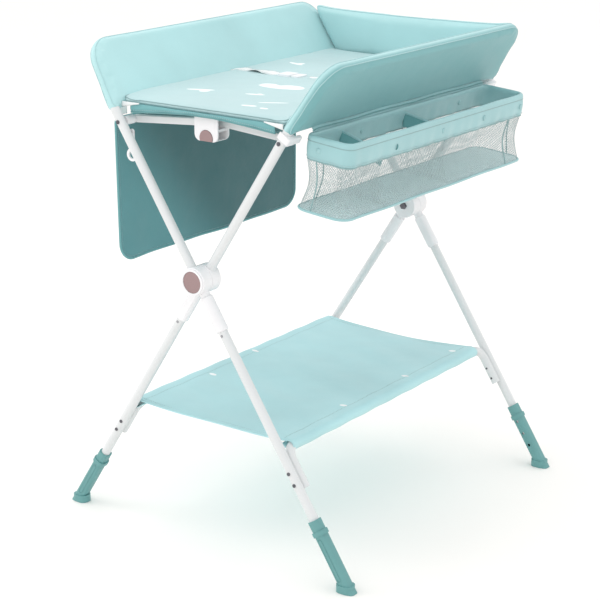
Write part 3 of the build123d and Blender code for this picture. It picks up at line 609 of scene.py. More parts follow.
class NURSERY_OT_finishes(bpy.types.Operator):
    """Makes every finish and gives the frame's own parts theirs"""
    bl_idname = "nursery.finishes"
    bl_label = "Finishes"

    def execute(self, context):
        c = context.scene.nursery_colours
        enamel = powder_coat("powder_coated_steel", linear(c.enamel))
        shell = moulded("moulded_abs_white", linear(c.plastic), 0.38, 0.0012)
        mauve = moulded("moulded_abs_mauve", linear(c.mauve), 0.46, 0.0012)
        foot = moulded("moulded_polypropylene_teal", linear(c.foot), 0.5, 0.0014)
        screw = zinc("zinc_plated_steel", srgb("6E6E74"))
        bright = zinc("polished_zinc_button", srgb("B4B5BA"))
        prints = (
            # two birds, a cloud and small drops
            (-0.099, -0.231, 0.858, 0.030, 0.0065, 20), (-0.085, -0.236, 0.858, 0.011, 0.011, 0),
            (0.016, -0.212, 0.858, 0.021, 0.005, 15), (0.022, -0.206, 0.858, 0.006, 0.006, 0),
            (0.002, -0.128, 0.858, 0.042, 0.016, 0), (0.030, -0.118, 0.858, 0.030, 0.020, 0), (-0.020, -0.120, 0.858, 0.020, 0.014, 0),
            (-0.127, 0.112, 0.858, 0.024, 0.006, -20), (-0.118, 0.118, 0.858, 0.008, 0.008, 0),
            (0.068, -0.298, 0.858, 0.017, 0.0045, 10), (0.105, -0.302, 0.858, 0.010, 0.004, 0),
            (0.092, -0.256, 0.858, 0.030, 0.0035, 30), (0.060, 0.085, 0.858, 0.030, 0.013, 0), (0.082, 0.095, 0.858, 0.018, 0.014, 0),
            (-0.05, 0.235, 0.858, 0.020, 0.005, 15), (0.11, 0.225, 0.858, 0.010, 0.004, 0),
        )
        dots = ((-0.158, -0.135), (-0.175, 0.030), (0.163, -0.128), (0.167, 0.088), (0.163, 0.280))
        spots = tuple((x, y, 0.245, 0.009, 0.0055, 0) for x, y in dots)
        coated_cloth("coated_polyester_wall_left", linear(c.wall), turn=-LEAN, folds=0.35)
        # painted shade: the right wall's outer face, away from the tray, takes a darker tone, 0.40, 0.58 and 0.59 of
        # the wall colour, for the shade on that face
        base = HUB * SIN
        outer = tuple(v * f for v, f in zip(c.wall, (0.40, 0.58, 0.59))) + (1.0,)
        outside = ((COS, 0.0, -SIN), -0.004 - base, 0.0085 - base, outer)
        coated_cloth("coated_polyester_wall_right", linear(c.wall), turn=LEAN, folds=0.35, painted_shade=outside)
        coated_cloth("coated_polyester_wall_back", linear(c.wall), folds=0.35)
        coated_cloth("printed_polyester_mat", linear(c.mat), folds=0.3, prints=prints)
        # hem cloth, also used as the painted shade of the basket's partition cuffs
        coated_cloth("woven_polyester_hem_and_cuff_shade", linear(c.hem), folds=0.5, rough=0.6)
        # painted shade: the organiser darkens to 0.48 of its tone towards its far, upper part, for the shade it hangs
        # in under the tray
        painted_shade_upper = ((0.0, 0.75, 0.65), 0.215, 0.375, shade_of(c.panel, 0.48))
        coated_cloth("woven_polyester_organiser", linear(c.panel), folds=0.6, rough=0.6, painted_shade=painted_shade_upper)
        coated_cloth("satin_polyester_band", linear(c.band), folds=0.7, rough=0.36, thread=0.0009)
        coated_cloth("covered_board", linear(c.board), folds=0.25, rough=0.5)
        coated_cloth("woven_polyester_shelf", linear(c.shelf), folds=0.4, rough=0.55, prints=spots)
        coated_cloth("wall_piping", shade_of(c.wall, 0.9), folds=0.2, rough=0.5, thread=0.0009)
        coated_cloth("bias_binding", shade_of(c.wall, 0.6), folds=0.2, rough=0.55, thread=0.0009)
        coated_cloth("dark_binding", shade_of(c.hem, 0.8), folds=0.2, rough=0.55, thread=0.0009)
        coated_cloth("sewing_thread", shade_of(c.mat, 0.86), folds=0.0, rough=0.6)
        webbing_cloth("polypropylene_webbing", linear(c.strap))
        moulded("moulded_snap", shade_of(c.band, 0.95), 0.4, 0.0012)
        knit_thread("knitted_net_thread", linear(c.net))
        # the first kind whose beginnings or endings fit a node's name is its finish
        kinds = (
            (bright, ("foot_button", "leg_snap_pins"), ()),
            (foot, ("foot_",), ()),
            (enamel, ("outer_frame_tube", "inner_frame_tube", "lower_legs", "shelf_rail"), ("_link",)),
            (mauve, ("hub_caps",), ("release_button",)),
            (shell, ("hub_shell", "leg_sleeves", "link_spacers", "storage_hook", "basket_clips", "strap_buckle"), ("lock_housing",)),
        )
        for name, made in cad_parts.items():
            finish = next((made_of for made_of, starts, ends in kinds if name.startswith(starts) or name.endswith(ends)), screw)
            made.data.materials.clear()
            made.data.materials.append(finish)
        return {"FINISHED"}


class NURSERY_OT_side_walls(bpy.types.Operator):
    """Padded side walls over the tops of the two U frames, with boxing seams"""
    bl_idname = "nursery.side_walls"
    bl_label = "Side walls"

    def execute(self, context):
        sizes = context.scene.nursery_sizes
        for name, side, near, body in (
            ("left_wall", -1, sizes.wall_near_left, "outer_frame"), ("right_wall", 1, sizes.wall_near_right, "inner_frame"),
        ):
            half_long = -near
            mid = (sizes.wall_top + sizes.wall_low) / 2
            half_wide = (sizes.wall_top - sizes.wall_low) / 2
            half = sizes.wall_thick / 2 - 0.001
            high, low = 0.052, 0.011
            y, up, out = pillow(half_long, half_wide, high, low, 0.0125, half, 0.0, 170, 48)
            # a foam core thinner than the tubes round it, so the faces dip a little inside the tubes
            dip = np.clip((1 - (y / (half_long - 0.03)) ** 2), 0, 1) * np.clip(1 - np.abs((up) / (half_wide - 0.012)) ** 3, 0, 1)
            out = out - 0.0022 * dip
            # both ends lean in towards the top, with the tube inside them
            y = y * (1 - sizes.wall_taper * (up + half_wide) / (2 * half_wide) / half_long)
            front = on_leg(side, y, mid + up, out)
            back = on_leg(side, y, mid + up, -out)
            if side < 0:
                front, back = back, front
            wall = sewn(name + "_pad", front, back, finish_of("coated_polyester_" + ("wall_left" if side < 0 else "wall_right")))
            puffed(wall, 0.0045, 3.0, 0.0025, lambda points, side=side: over_tube(points, side))
            turn = rounded_profile(half_long - 0.0022, half_wide - 0.0022, high, low, 420)
            turn[:, 0] *= 1 - sizes.wall_taper * (turn[:, 1] + half_wide) / (2 * half_wide) / half_long
            for k, place in enumerate((-half * 0.72, half * 0.72)):
                path = on_leg(side, turn[:, 0], mid + turn[:, 1], place)
                path, facing = onto(path, wall, 0.0003)
                seam = rod(f"{name}_seam_{k + 1}", path, 0.0009, facing, finish_of("wall_piping"), closed=True, sides=8)
                settle(seam, body, "mint_leatherette")
            settle(wall, body, "mint_leatherette", name)
        return {"FINISHED"}


def over_tube(points, side):
    """Presses out whatever part of a wall's cover lies inside the U tube that stiffens it, to 0.8 mm over the tube."""
    across, rise = side * points[:, 0], points[:, 2] - HUB
    y, up, out = points[:, 1], across * SIN + rise * COS, across * COS - rise * SIN
    # the tube's middle line in the frame's plane: leg, bend, half the top bar, then the same mirrored
    leg_y, end = TUBE[side], TUBE_TOP - TUBE_BEND
    turn = np.radians(np.linspace(0, 90, 30))
    arc_y = leg_y - TAPER - TUBE_BEND + TUBE_BEND * np.cos(turn) + 0.006 * (1 - turn * 2 / np.pi)
    rising = np.linspace(0.34, end, 40)
    leg = np.stack((np.interp(rising, (0.34, TAPER_UP, TUBE_TOP), (leg_y, leg_y, leg_y - TAPER)), rising), 1)
    bar = np.stack((np.linspace(leg_y - TAPER - TUBE_BEND, 0, 60), np.full(60, TUBE_TOP)), 1)
    line = np.concatenate((leg, np.stack((arc_y, end + TUBE_BEND * np.sin(turn)), 1), bar))
    line = np.concatenate((line, line[::-1] * np.array((-1, 1))))
    away = np.stack((y, up), 1)[:, None, :] - line[None]
    nearest = np.argmin((away ** 2).sum(-1), 1)
    gap = np.column_stack((away[np.arange(len(y)), nearest], out))
    far = np.linalg.norm(gap, axis=1, keepdims=True)
    gap *= np.maximum(far, 0.0098) / np.maximum(far, 1e-6)
    spot = line[nearest] + gap[:, :2]
    return on_leg(side, spot[:, 0], spot[:, 1], gap[:, 2])


class NURSERY_OT_back_wall(bpy.types.Operator):
    """Padded back wall between the far ends of the side walls"""
    bl_idname = "nursery.back_wall"
    bl_label = "Back wall"

    def execute(self, context):
        low, high = 0.8445, 0.9490
        mid_y, half = 0.3465, 0.0098

        def placed(along_it, z):
            """Stretches a unit-wide shape to the two leaning walls, its top sagging 4 mm in the middle."""
            x = along_it * ((z - HUB) * SIN / COS - 0.0115 / COS - 0.0035)
            return x, z - 0.004 * (1 - (x / 0.25) ** 2) * np.clip((z - low) / (high - low), 0, 1)
        x, up, out = pillow(1.0, (high - low) / 2, 0.036, 0.006, 0.0115, half, 0.0015, 110, 34)
        x, z = placed(x, (low + high) / 2 + up)
        pad = sewn("back_wall_pad", np.stack((x, mid_y - out, z), -1), np.stack((x, mid_y + out, z), -1), finish_of("coated_polyester_wall_back"))
        puffed(pad, 0.005, 3.0, 0.003)
        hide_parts("back_wall")
        turn = rounded_profile(0.985, (high - low) / 2 - 0.002, 0.034, 0.006, 320)
        x, z = placed(turn[:, 0], (low + high) / 2 + turn[:, 1])
        path, facing = onto(np.stack((x, np.full(len(x), mid_y - half * 0.7), z), 1), pad, 0.0003)
        seam = rod("back_wall_seam", path, 0.0009, facing, finish_of("wall_piping"), closed=True, sides=8)
        for piece in (pad, seam):
            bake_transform(piece)
        return {"FINISHED"}


class NURSERY_OT_mat(bpy.types.Operator):
    """Quilted mat of one piece, printed, with a seam along its rim"""
    bl_idname = "nursery.mat"
    bl_label = "Mat"

    def execute(self, context):
        sizes = context.scene.nursery_sizes
        near, far = -0.351, 0.334
        low, high = 0.8434, 0.8566
        half_long, mid_y = (far - near) / 2, (far + near) / 2
        y, x, out = pillow(half_long, sizes.mat_half, 0.0035, 0.0035, 0.0055, (high - low) / 2 - 0.0004, sizes.mat_crown, 150, 100)
        mid = (low + high) / 2
        # the sides turn up to meet the side walls, and the free near edge droops a little
        rise = 0.0045 * np.abs(x / sizes.mat_half) ** 7
        droop = 0.0045 * np.exp(-((y + half_long) / 0.045) ** 2)
        slope = np.clip(np.abs(x) - MAT_REACH, 0, None) / (SIN / COS)
        top = np.stack((x, mid_y + y, mid + out - droop + rise), -1)
        bottom = np.stack((x, mid_y + y, np.minimum(np.maximum(mid - out, low) + slope, top[..., 2] - 0.0004)), -1)
        mat = sewn("mat_pad", bottom, top, finish_of("printed_polyester_mat"))

        def pressed(points):
            """The mat lies on its sling and against the leaning walls, and its top stays under the strap."""
            floor = low + np.clip(np.abs(points[:, 0]) - MAT_REACH, 0, None) / (SIN / COS)
            points[:, 2] = np.clip(points[:, 2], floor, high + 0.0052)
            points[:, 0] = np.clip(points[:, 0], -sizes.mat_half - 0.0008, sizes.mat_half + 0.0008)
            points[:, 1] = np.clip(points[:, 1], near - 0.0025, far + 0.0008)
            return points
        puffed(mat, 0.005, 2.5, 0.003, pressed)
        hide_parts("mat_left", "mat_right")
        turn = rounded_profile(half_long - 0.0012, sizes.mat_half - 0.0012, 0.0035, 0.0035, 420)
        path = np.stack((turn[:, 1], mid_y + turn[:, 0], high - 0.0028 + 0.0065 * np.abs(turn[:, 1] / sizes.mat_half) ** 7), 1)
        path, facing = onto(path, mat, 0.0002)
        seam = rod("mat_seam", path, 0.0009, facing, finish_of("bias_binding"), closed=True, sides=8)
        for piece in (mat, seam):
            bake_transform(piece)
        return {"FINISHED"}


class NURSERY_OT_sling(bpy.types.Operator):
    """Sling that carries the mat, its hanging near hem with a corded edge, and the corner tabs"""
    bl_idname = "nursery.sling"
    bl_label = "Sling and hem"

    def execute(self, context):
        # the sling: flat under the mat, its thickness 2.4 mm
        x, y = np.meshgrid(np.linspace(-0.1795, 0.1795, 91), np.linspace(-0.347, 0.332, 120))
        z = 0.8422 - 0.0004 * np.cos(x * 40) ** 2
        sling = skin("sling_cloth", np.stack((x, y, z), -1), finish_of("woven_polyester_hem_and_cuff_shade"), flip=True)
        thicken(sling, 0.0022, 1.0)
        # the hem: its lower edge is 11 mm lower at the ends than in the middle
        x, v = np.meshgrid(np.linspace(-0.168, 0.168, 120), np.linspace(0, 1, 10))
        low = 0.8392 - 0.0105 * np.clip((np.abs(x) - 0.03) / 0.135, 0, 1) ** 1.2
        high = 0.8452
        front = -0.3518 - 0.0022 * np.sin(np.pi * v) - 0.0006 * np.sin(x * 90)
        hem = skin("sling_hem", np.stack((x, front, high + (low - high) * v), -1), finish_of("woven_polyester_hem_and_cuff_shade"), flip=False)
        thicken(hem, 0.0016, -1.0)
        line = np.linspace(-0.168, 0.168, 120)
        path = np.stack((line, np.full(120, -0.3519), 0.8392 - 0.0105 * np.clip((np.abs(line) - 0.03) / 0.135, 0, 1) ** 1.2), 1)
        cord = rod("sling_hem_cord", path, 0.0016, (0, -1, 0), finish_of("dark_binding"), sides=8)
        sewing = stitches("sling_hem_stitches", path + np.array((0.0, -0.0026, 0.0042)), (0, -1, 0), finish_of("sewing_thread"))
        for piece in (sling, hem, cord, sewing):
            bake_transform(piece)
        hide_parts("sling_left", "sling_right")
        # white tabs that close the near corners between the sling and the walls
        for name, side, body in (("corner_tab_left", -1, "deck_left"), ("corner_tab_right", 1, "deck_right")):
            u, v = np.meshgrid(np.linspace(0, 1, 12), np.linspace(0, 1, 8))
            y, z = -0.3540 - 0.0012 * np.sin(np.pi * v), 0.8475 - 0.0105 * v * (0.10 + 0.90 * u)
            points = np.stack((side * (0.1450 + 0.042 * u), y, z), -1)
            tab = skin(name, points, finish_of("polypropylene_webbing"), flip=side < 0)
            thicken(tab, 0.0012)
            settle(tab, body, "webbing")
        return {"FINISHED"}


class NURSERY_OT_strap(bpy.types.Operator):
    """Safety strap lying in loose waves across the mat, through its buckle"""
    bl_idname = "nursery.strap"
    bl_label = "Safety strap"

    def execute(self, context):
        for name, start, end, body, node, waves in (
            ("strap_left_webbing", -0.190, -0.0705, "deck_left", "strap_left", 1.3),
            ("strap_right_webbing", -0.0195, 0.190, "deck_right", "strap_right", 2.2),
        ):
            u, v = np.meshgrid(np.linspace(0, 1, 90), np.linspace(-1, 1, 9))
            x = start + (end - start) * u
            lift = 0.0010 + 0.0042 * np.sin(np.pi * u) ** 2 * (0.55 + 0.45 * np.cos(2 * np.pi * waves * u))
            tilt = 0.0022 * np.sin(np.pi * u) * np.sin(2 * np.pi * waves * u + 0.8)
            z = 0.8600 + lift + tilt * v + np.abs(tilt)
            y = -0.012 + 0.0125 * v + 0.006 * np.sin(2 * np.pi * u * 0.8) * np.sin(np.pi * u)
            strap = skin(name, np.stack((x, y, z), -1), finish_of("polypropylene_webbing"))
            thicken(strap, 0.0014, 1.0)
            settle(strap, body, "webbing", node)
            for edge in (-1, 1):
                path = np.stack((x[0], y[4] + edge * 0.0105, z[4] + edge * 0.84 * tilt[4] + 0.0004), 1)
                sewing = stitches(
                    f"{name}_edge_{'near' if edge < 0 else 'far'}", path, (0, 0, 1), finish_of("sewing_thread"),
                    pitch=0.0035, long=0.0024, thick=0.0005,
                )
                settle(sewing, body, "webbing")
        return {"FINISHED"}


def hung(points):
    """Turns points about the basket's inner rim, x' = x cos + z sin and z' = z cos - x sin, as its weight does."""
    x, z = points[..., 0] - HANG_X, points[..., 2] - HANG_Z
    c, d = math.cos(HANG_TURN), math.sin(HANG_TURN)
    return np.stack((HANG_X + x * c + z * d, points[..., 1], HANG_Z - x * d + z * c), -1)


def basket_wall(u, offset, z):
    """Points round the basket: u from 0 to 1 round its rounded rectangle, offset outwards, at height z, then hung."""
    points, outward, _ = rounded_loop(BASKET_MID, BASKET_HALF[0], BASKET_HALF[1], 0.020, 600)
    points = points + np.array((0.0, BASKET_SET))
    at = np.mod(u, 1.0) * 600
    ring = np.arange(601)
    wrap = lambda row: np.interp(at, ring, np.concatenate((row, row[:1])))
    nx, ny = wrap(outward[:, 0]), wrap(outward[:, 1])
    scale = np.hypot(nx, ny)
    return hung(np.stack((wrap(points[:, 0]) + offset * nx / scale, wrap(points[:, 1]) + offset * ny / scale, z + 0 * u), -1))


def net_shape(u, v):
    """The net wall: it starts under the band, is drawn in at half height and flares to the bottom; v runs down from 0 to 1."""
    offset = -0.0016 - 0.0075 * np.sin(np.pi * np.clip(v, 0, 1)) ** 1.5 + 0.0062 * np.clip(v, 0, 1) ** 2
    offset = offset + 0.0012 * np.sin(u * 2 * np.pi * 9) * np.sin(np.pi * np.clip(v, 0, 1))
    return basket_wall(u, offset, BAND_LOW + 0.002 - (BAND_LOW + 0.002 - BASKET_FLOOR) * v)


class NURSERY_OT_basket(bpy.types.Operator):
    """Hanging basket: satin band over its rim wire, net walls, two net partitions, a covered board and snaps"""
    bl_idname = "nursery.basket"
    bl_label = "Basket"

    def execute(self, context):
        band_cloth, binding = finish_of("satin_polyester_band"), finish_of("bias_binding")
        u = np.linspace(0, 1, 360, endpoint=False)
        # the band's section: (offset, height) from inside bottom over the wire and down the outside
        section = np.array([
            (-0.0036, 0.7843), (-0.0040, 0.7925), (-0.0050, 0.8005), (-0.0064, 0.8085), (-0.0082, 0.8150), (-0.0096, 0.8195),
            (-0.0098, 0.8237), (-0.0082, 0.8271), (-0.0052, 0.8286), (-0.0022, 0.8277), (-0.0004, 0.8253), (0.0003, 0.8215),
            (-0.0002, 0.8175), (0.0008, 0.8125), (0.0014, 0.8055), (0.0010, 0.7975), (0.0002, 0.7905), (-0.0008, 0.7843),
        ])
        ripple = 0.0007 * np.sin(u * 2 * np.pi * 23) + 0.0006 * np.sin(u * 2 * np.pi * 41 + 1.0)
        low = np.clip((0.8235 - section[:, 1]) / 0.04, 0, 1)
        offset = section[:, 0][None, :] + ripple[:, None] * low[None, :]
        points = basket_wall(u[:, None] * np.ones((1, len(section))), offset, section[:, 1][None, :] + 0.0005 * np.sin(u * 2 * np.pi * 11)[:, None])
        band = skin("basket_band_cloth", points, band_cloth, round_rows=True, round_cols=True)
        finer = band.modifiers.new("finer", "SUBSURF")
        finer.levels = finer.render_levels = 1
        settle(band, "basket", "band_satin", "basket_band")
        piping = rod("basket_band_piping", basket_wall(u, -0.0004, 0.8179 + 0 * u), 0.0011, (0, 0, 1), binding, closed=True, sides=8)
        lower = rod("basket_band_lower_edge", basket_wall(u, -0.0018 + ripple, 0.7841 + 0 * u), 0.0016, (0, 0, 1), binding, closed=True, sides=8)
        for piece in (piping, lower):
            settle(piece, "basket", "band_satin")
        outward = basket_wall(u, 1, 0 * u) - basket_wall(u, 0, 0 * u)
        path = basket_wall(u, 0.0010 + ripple, 0.7890 + 0 * u)
        sewing = stitches("basket_band_stitches", path, outward, finish_of("sewing_thread"), closed=True)
        settle(sewing, "basket", "band_satin")
        # net walls
        cell = context.scene.nursery_sizes.net_cell
        around = rounded_loop(BASKET_MID, BASKET_HALF[0], BASKET_HALF[1], 0.020, 600)[2]
        count = int(round(around / cell))
        slope = (BAND_LOW - BASKET_FLOOR) * 1.05 / around
        walls = net("basket_net", net_shape, np.arange(count) / count, np.linspace(0, 1, 13), slope, finish_of("knitted_net_thread"))
        settle(walls, "basket", "mesh_fabric", "basket_mesh")
        # corner seams of the net
        for k, at in enumerate((0.03, 0.47, 0.53, 0.97)):
            v = np.linspace(0, 1, 24)
            seam = rod(f"basket_net_seam_{k + 1}", net_shape(at + 0 * v, v), 0.0013, (0, 1, 0.2), binding, sides=8)
            settle(seam, "basket", "band_satin")
        # the covered board and its binding
        x, y, out = pillow(0.0555, 0.3170, 0.024, 0.024, 0.003, 0.0019, 0.0004, 40, 120)
        grid = hung(np.stack((BASKET_MID + x, BASKET_SET + y, BASKET_FLOOR + 0 * x), -1))
        rise = np.stack((0 * x, 0 * x, out), -1)
        board = sewn("basket_board", grid + rise, grid - rise, finish_of("covered_board"))
        settle(board, "basket", "band_satin", "basket_floor")
        path = basket_wall(u, 0.0056, BASKET_FLOOR + 0.0006 * np.sin(u * 2 * np.pi * 7))
        edge = rod("basket_board_binding", path, 0.0024, (0, 0, 1), band_cloth, closed=True, sides=12)
        settle(edge, "basket", "band_satin")
        # partitions: a net sheet that bellies along Y and narrows with the walls
        for k, (at, lean) in enumerate(((-0.205, 0.012), (0.008, 0.016))):
            def leaf(u, v, at=at, lean=lean, k=k):
                reach = 0.0470 - 0.006 * np.sin(np.pi * np.clip(v, 0, 1)) + 0.005 * v
                belly = -0.020 * np.abs(u - 0.5) * np.sin(np.pi * np.clip(v, 0, 1)) + lean * v + (0.012 if k else 0.006) * (u - 0.5)
                top = 0.8150 - (0.024 if k == 0 else 0.014) * np.clip(u, 0, 1) ** 1.2
                return hung(np.stack((BASKET_MID + (2 * u - 1) * reach, at + belly, top + (0.6950 - top) * v), -1))
            seeds = np.arange(-0.55, 1.56, 0.058)
            v = np.linspace(0, 1, 15)
            kept = lambda u, v, leaf=leaf: leaf(np.clip(u, 0.0, 1.0), v)
            sheet = net(f"basket_partition_net_{k + 1}", kept, seeds, v, 0.55, finish_of("knitted_net_thread"))
            line = np.linspace(0, 1, 40)
            top = rod(f"basket_partition_binding_{k + 1}", leaf(line, 0 * line), 0.0022, (0, 1, 0), band_cloth, sides=8, flat=1.0)
            # painted shade: the cuff is band cloth at the top of a partition, given the darker hem cloth for the shade
            # it lies in under the rim
            u2, v2 = np.meshgrid(np.linspace(0, 1, 24), np.linspace(0, 0.22, 8))
            cuff = skin(f"basket_partition_cuff_{k + 1}", leaf(u2, v2), finish_of("woven_polyester_hem_and_cuff_shade"))
            thicken(cuff, 0.0014)
            for piece in (sheet, top, cuff):
                settle(piece, "basket", "mesh_fabric" if piece is sheet else "band_satin")
        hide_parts("basket_dividers")
        # snaps on the band: outside along the long wall and the near end, inside on the inner wall
        # flap: the strip of cloth from the rim up to the side wall, folded once on its way
        y, v = np.meshgrid(np.linspace(-0.300, 0.288, 140), np.linspace(0, 1, 15))
        ends = np.clip(np.minimum(y + 0.300, 0.288 - y) / 0.02, 0, 1) ** 0.5
        reach_x = np.interp(v, (0, 0.25, 0.6, 1), (0.2130, 0.2105, 0.2145, 0.2088)) + 0.0006 * np.sin(y * 60) * v
        reach_z = np.interp(v, (0, 0.25, 0.6, 1), (0.8285, 0.8318, 0.8322, 0.8368)) - 0.0012 * np.sin(y * 31 + 1) * v - 0.003 * (1 - ends) * v
        flap = skin("basket_flap", np.stack((reach_x, y, reach_z), -1), band_cloth)
        thicken(flap, 0.0012)
        fold = rod("basket_flap_fold", np.stack((reach_x[9], y[9], reach_z[9] + 0.0003), 1), 0.0011, (0, 0, 1), finish_of("dark_binding"), sides=8)
        for piece in (flap, fold):
            settle(piece, "basket", "band_satin")
        spots = np.array([(0.3062, -0.010), (0.3062, 0.140), (0.3062, 0.282), (0.240, -0.3192), (0.2094, 0.030), (0.2094, 0.205), (0.2094, -0.140)])
        centres = hung(np.stack((spots[:, 0], spots[:, 1], np.full(7, 0.8040)), -1))
        facings = [(1, 0, -0.1)] * 3 + [(0, -1, 0)] + [(1, 0, -0.1)] * 3
        snaps = dome("basket_snaps", centres, facings, 0.0055, 0.0026, finish_of("moulded_snap"))
        settle(snaps, "basket", "band_satin")
        path = np.array([(0.3060, -0.170, 0.7960), (0.3076, -0.1695, 0.7990), (0.3078, -0.169, 0.8025), (0.3062, -0.1685, 0.8055)])
        slit = rod("basket_loop", hung(path), 0.0015, (0, 1, 0), finish_of("dark_binding"), sides=8)
        settle(slit, "basket", "band_satin")
        return {"FINISHED"}


class NURSERY_OT_organiser(bpy.types.Operator):
    """Hanging organiser: a bound panel, two gusseted pockets and three hangers"""
    bl_idname = "nursery.organiser"
    bl_label = "Organiser"

    def execute(self, context):
        cloth, dark = finish_of("woven_polyester_organiser"), finish_of("dark_binding")
        near, far, high, low = -0.325, 0.252, 0.805, 0.522
        mid_y, mid_z = (near + far) / 2, (high + low) / 2
        half_y, half_z = (far - near) / 2, (high - low) / 2
        y, z, out = pillow(half_y, half_z, 0.010, 0.036, 0.0016, 0.0013, 0.0, 110, 70)

        def hanging(y, z, x=-0.2320):
            """Points of the panel, waving more towards its free lower edge."""
            hang = (half_z - z) / (2 * half_z)
            wave = 0.0022 * np.sin(y * 19.0 + 0.6) * hang + 0.0016 * np.sin(y * 41.0) * hang ** 2
            return np.stack((x + wave, mid_y + y, mid_z + z), -1)
        panel = sewn("organiser_panel_cloth", hanging(y, z, -0.2320 + out), hanging(y, z, -0.2320 - out), cloth)
        turn = rounded_profile(half_y, half_z, 0.010, 0.036, 420)
        binding = rod("organiser_binding", hanging(*turn.T), 0.0023, (1, 0, 0), finish_of("woven_polyester_hem_and_cuff_shade"), closed=True, sides=10)
        inset = rounded_profile(half_y - 0.005, half_z - 0.005, 0.008, 0.031, 420)
        sewing = stitches("organiser_stitches", hanging(*inset.T, -0.2305), (1, 0, 0), finish_of("sewing_thread"), closed=True)
        for piece in (panel, binding, sewing):
            settle(piece, "organiser", "teal_fabric")
        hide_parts("organiser_panel")
        # pockets: depth is widest at two thirds of the height and falls to nothing at the sewn bottom
        for k, middle in enumerate((near + 0.152, far - 0.152)):
            a, b = np.meshgrid(np.linspace(0, 1, 90), np.linspace(0, 1, 40))
            across = np.clip((a - 0.5) / 0.5, -1, 1)
            depth = 0.0235 * (1 - np.abs(across) ** 5) ** 0.6 * (0.10 + 0.90 * np.sin(np.clip(b * 1.15, 0, 1) * np.pi / 2) ** 1.2)
            sag = 0.004 * np.sin(np.pi * a) * b
            y = middle + 0.1215 * np.sign(across) * np.abs(across) ** 0.9
            x = -0.2350 - depth + 0.0012 * np.sin(a * 31) * b
            pocket = skin(f"organiser_pocket_{k + 1}", np.stack((x, y, 0.5515 + 0.1475 * b - sag), -1), cloth, flip=False)
            thicken(pocket, 0.0016)
            path = np.stack((x[-1], y[-1], 0.699 - sag[-1]), 1)
            hem = rod(f"organiser_pocket_hem_{k + 1}", path, 0.0021, (0, 0, 1), finish_of("woven_polyester_hem_and_cuff_shade"), sides=8)
            settle(pocket, "organiser", "teal_fabric")
            settle(hem, "organiser", "teal_fabric")
            if k == 0:
                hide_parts("organiser_pockets")
        # hangers: a strip that leaves the wall's underside and drops to the panel
        strips = []
        for y0 in (near + 0.022, mid_y, far - 0.022):
            t, v = np.meshgrid(np.linspace(0, 1, 24), np.linspace(-1, 1, 6))
            knots = np.array([(-0.2322, 0.8094), (-0.2322, 0.8270), (-0.2262, 0.8380), (-0.2208, 0.8450)])
            x = np.interp(t, (0, 0.45, 0.75, 1), knots[:, 0])
            z = np.interp(t, (0, 0.45, 0.75, 1), knots[:, 1])
            strips.append(np.stack((x, y0 + 0.0115 * v, z), -1))
        faces = np.concatenate([grid_faces(6, 24, start=144 * k) for k in range(3)]).tolist()
        hanger = mesh_object("organiser_hanger_cloth", np.concatenate([s.reshape(-1, 3) for s in strips]), faces, finish_of("polypropylene_webbing"))
        thicken(hanger, 0.0016)
        settle(hanger, "outer_frame", "teal_fabric", "organiser_hangers")
        return {"FINISHED"}


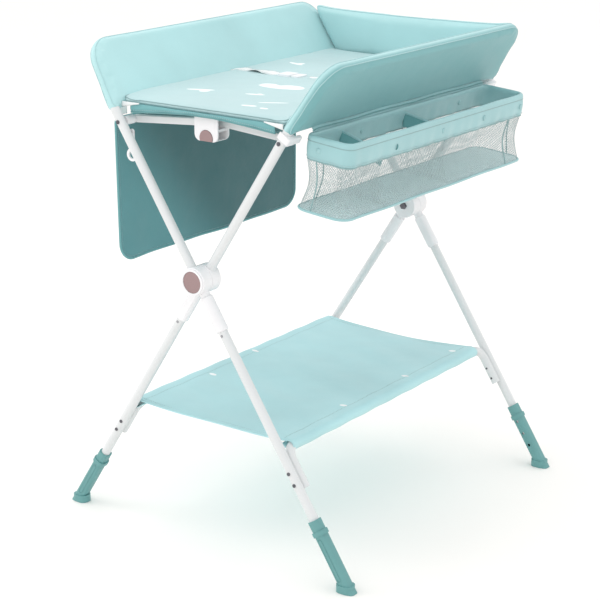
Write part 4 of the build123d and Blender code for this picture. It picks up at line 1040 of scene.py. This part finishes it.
class NURSERY_OT_shelf(bpy.types.Operator):
    """Shelf cloth: sleeves round both rails, a sagging middle, drawn-in free edges and stitched hems"""
    bl_idname = "nursery.shelf"
    bl_label = "Shelf"

    def execute(self, context):
        sizes = context.scene.nursery_sizes
        rail, radius, level = 0.18895, 0.0101, 0.2420
        # section across X: from the seam under the cloth, round the outside of the rail, over and across
        turn = np.radians(np.linspace(-62, 90, 22))
        right = np.stack((rail + radius * np.cos(turn), level + radius * np.sin(turn)), 1)
        tail = np.array([(rail - 0.018, level + 0.0018), (rail - 0.009, level - 0.0052), (rail - 0.001, level - 0.0096)])
        sleeve = np.concatenate((tail, right))
        inner = np.linspace(rail - 0.004, -(rail - 0.004), 80)
        share = inner / (rail - 0.004)
        middle = np.stack((inner, level + radius - 0.0015 * (1 - share ** 8) - sizes.shelf_sag * (1 - share ** 2)), 1)
        section = np.concatenate((sleeve, middle, (sleeve * np.array((-1, 1)))[::-1]))
        x, z = section[:, 0][None, :], section[:, 1][None, :]
        v = np.linspace(-1, 1, 120)[:, None]
        drawn = 1 - (x / rail) ** 2
        near = -0.3415 + 0.0055 * np.clip(drawn, 0, 1)
        far = 0.3240 - 0.0065 * np.clip(drawn, 0, 1)
        y = near + (far - near) * (v + 1) / 2
        curl = -0.002 * np.clip(drawn, 0, 1) * np.exp(-((1 - np.abs(v)) / 0.05) ** 2)
        ripple = 0.0008 * np.sin(y * 33 + 1.2) * np.clip(drawn, 0, 1) + 0.0006 * np.sin(y * 71 + x * 30)
        points = np.stack((x + 0 * v, y, z + curl + ripple), -1)
        cloth = skin("shelf_sheet", points, finish_of("woven_polyester_shelf"), flip=False)
        thicken(cloth, 0.0014)
        parts = []
        for name, row in (("near", 0), ("far", -1)):
            path = points[row, 25:105]
            parts.append(rod(f"shelf_hem_{name}", path, 0.0019, (0, 0, 1), finish_of("woven_polyester_shelf"), sides=8, flat=0.8))
            inset = points[row, 25:105] + np.array((0, 0.011 if name == "near" else -0.011, 0.0008))
            parts.append(stitches(f"shelf_stitches_{name}", inset, (0, 0, 1), finish_of("sewing_thread")))
        for name, side in (("left", -1), ("right", 1)):
            line = np.linspace(-0.335, 0.318, 160)
            at = side * (rail - 0.0175)
            top = np.interp(abs(at), middle[:40, 0][::-1], middle[:40, 1][::-1])
            ripples = 0.0008 * np.sin(line * 33 + 1.2) * (1 - (at / rail) ** 2) + 0.0006 * np.sin(line * 71 + at * 30)
            path = np.stack((at + 0 * line, line, top + 0.0009 + ripples), 1)
            parts.append(stitches(f"shelf_seam_{name}", path, (0, 0, 1), finish_of("sewing_thread")))
        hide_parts("shelf_cloth")
        for piece in [cloth, *parts]:
            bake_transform(piece)
        return {"FINISHED"}


class NURSERY_PT_panel(bpy.types.Panel):
    """The steps in order, with the sizes and colours"""
    bl_idname = "NURSERY_PT_panel"
    bl_label = "Changing table"
    bl_space_type = "VIEW_3D"
    bl_region_type = "UI"
    bl_category = "Nursery"

    def draw(self, context):
        for step in OPERATORS:
            self.layout.operator(step.bl_idname)
        for group in (context.scene.nursery_sizes, context.scene.nursery_colours):
            box = self.layout.box()
            for key in group.__annotations__:
                box.prop(group, key)


OPERATORS = (
    NURSERY_OT_stage, NURSERY_OT_finishes, NURSERY_OT_side_walls, NURSERY_OT_back_wall, NURSERY_OT_mat,
    NURSERY_OT_sling, NURSERY_OT_strap, NURSERY_OT_basket, NURSERY_OT_organiser, NURSERY_OT_shelf,
)
CLASSES = (NurserySizes, NurseryColours, *OPERATORS, NURSERY_PT_panel)


def register():
    for each in CLASSES:
        bpy.utils.register_class(each)
    bpy.types.Scene.nursery_sizes = PointerProperty(type=NurserySizes)
    bpy.types.Scene.nursery_colours = PointerProperty(type=NurseryColours)


def unregister():
    del bpy.types.Scene.nursery_colours
    del bpy.types.Scene.nursery_sizes
    for each in reversed(CLASSES):
        bpy.utils.unregister_class(each)


def main():
    register()
    for step in OPERATORS:
        getattr(bpy.ops.nursery, step.bl_idname.split(".")[1])()


if __name__ == "__main__":
    main()
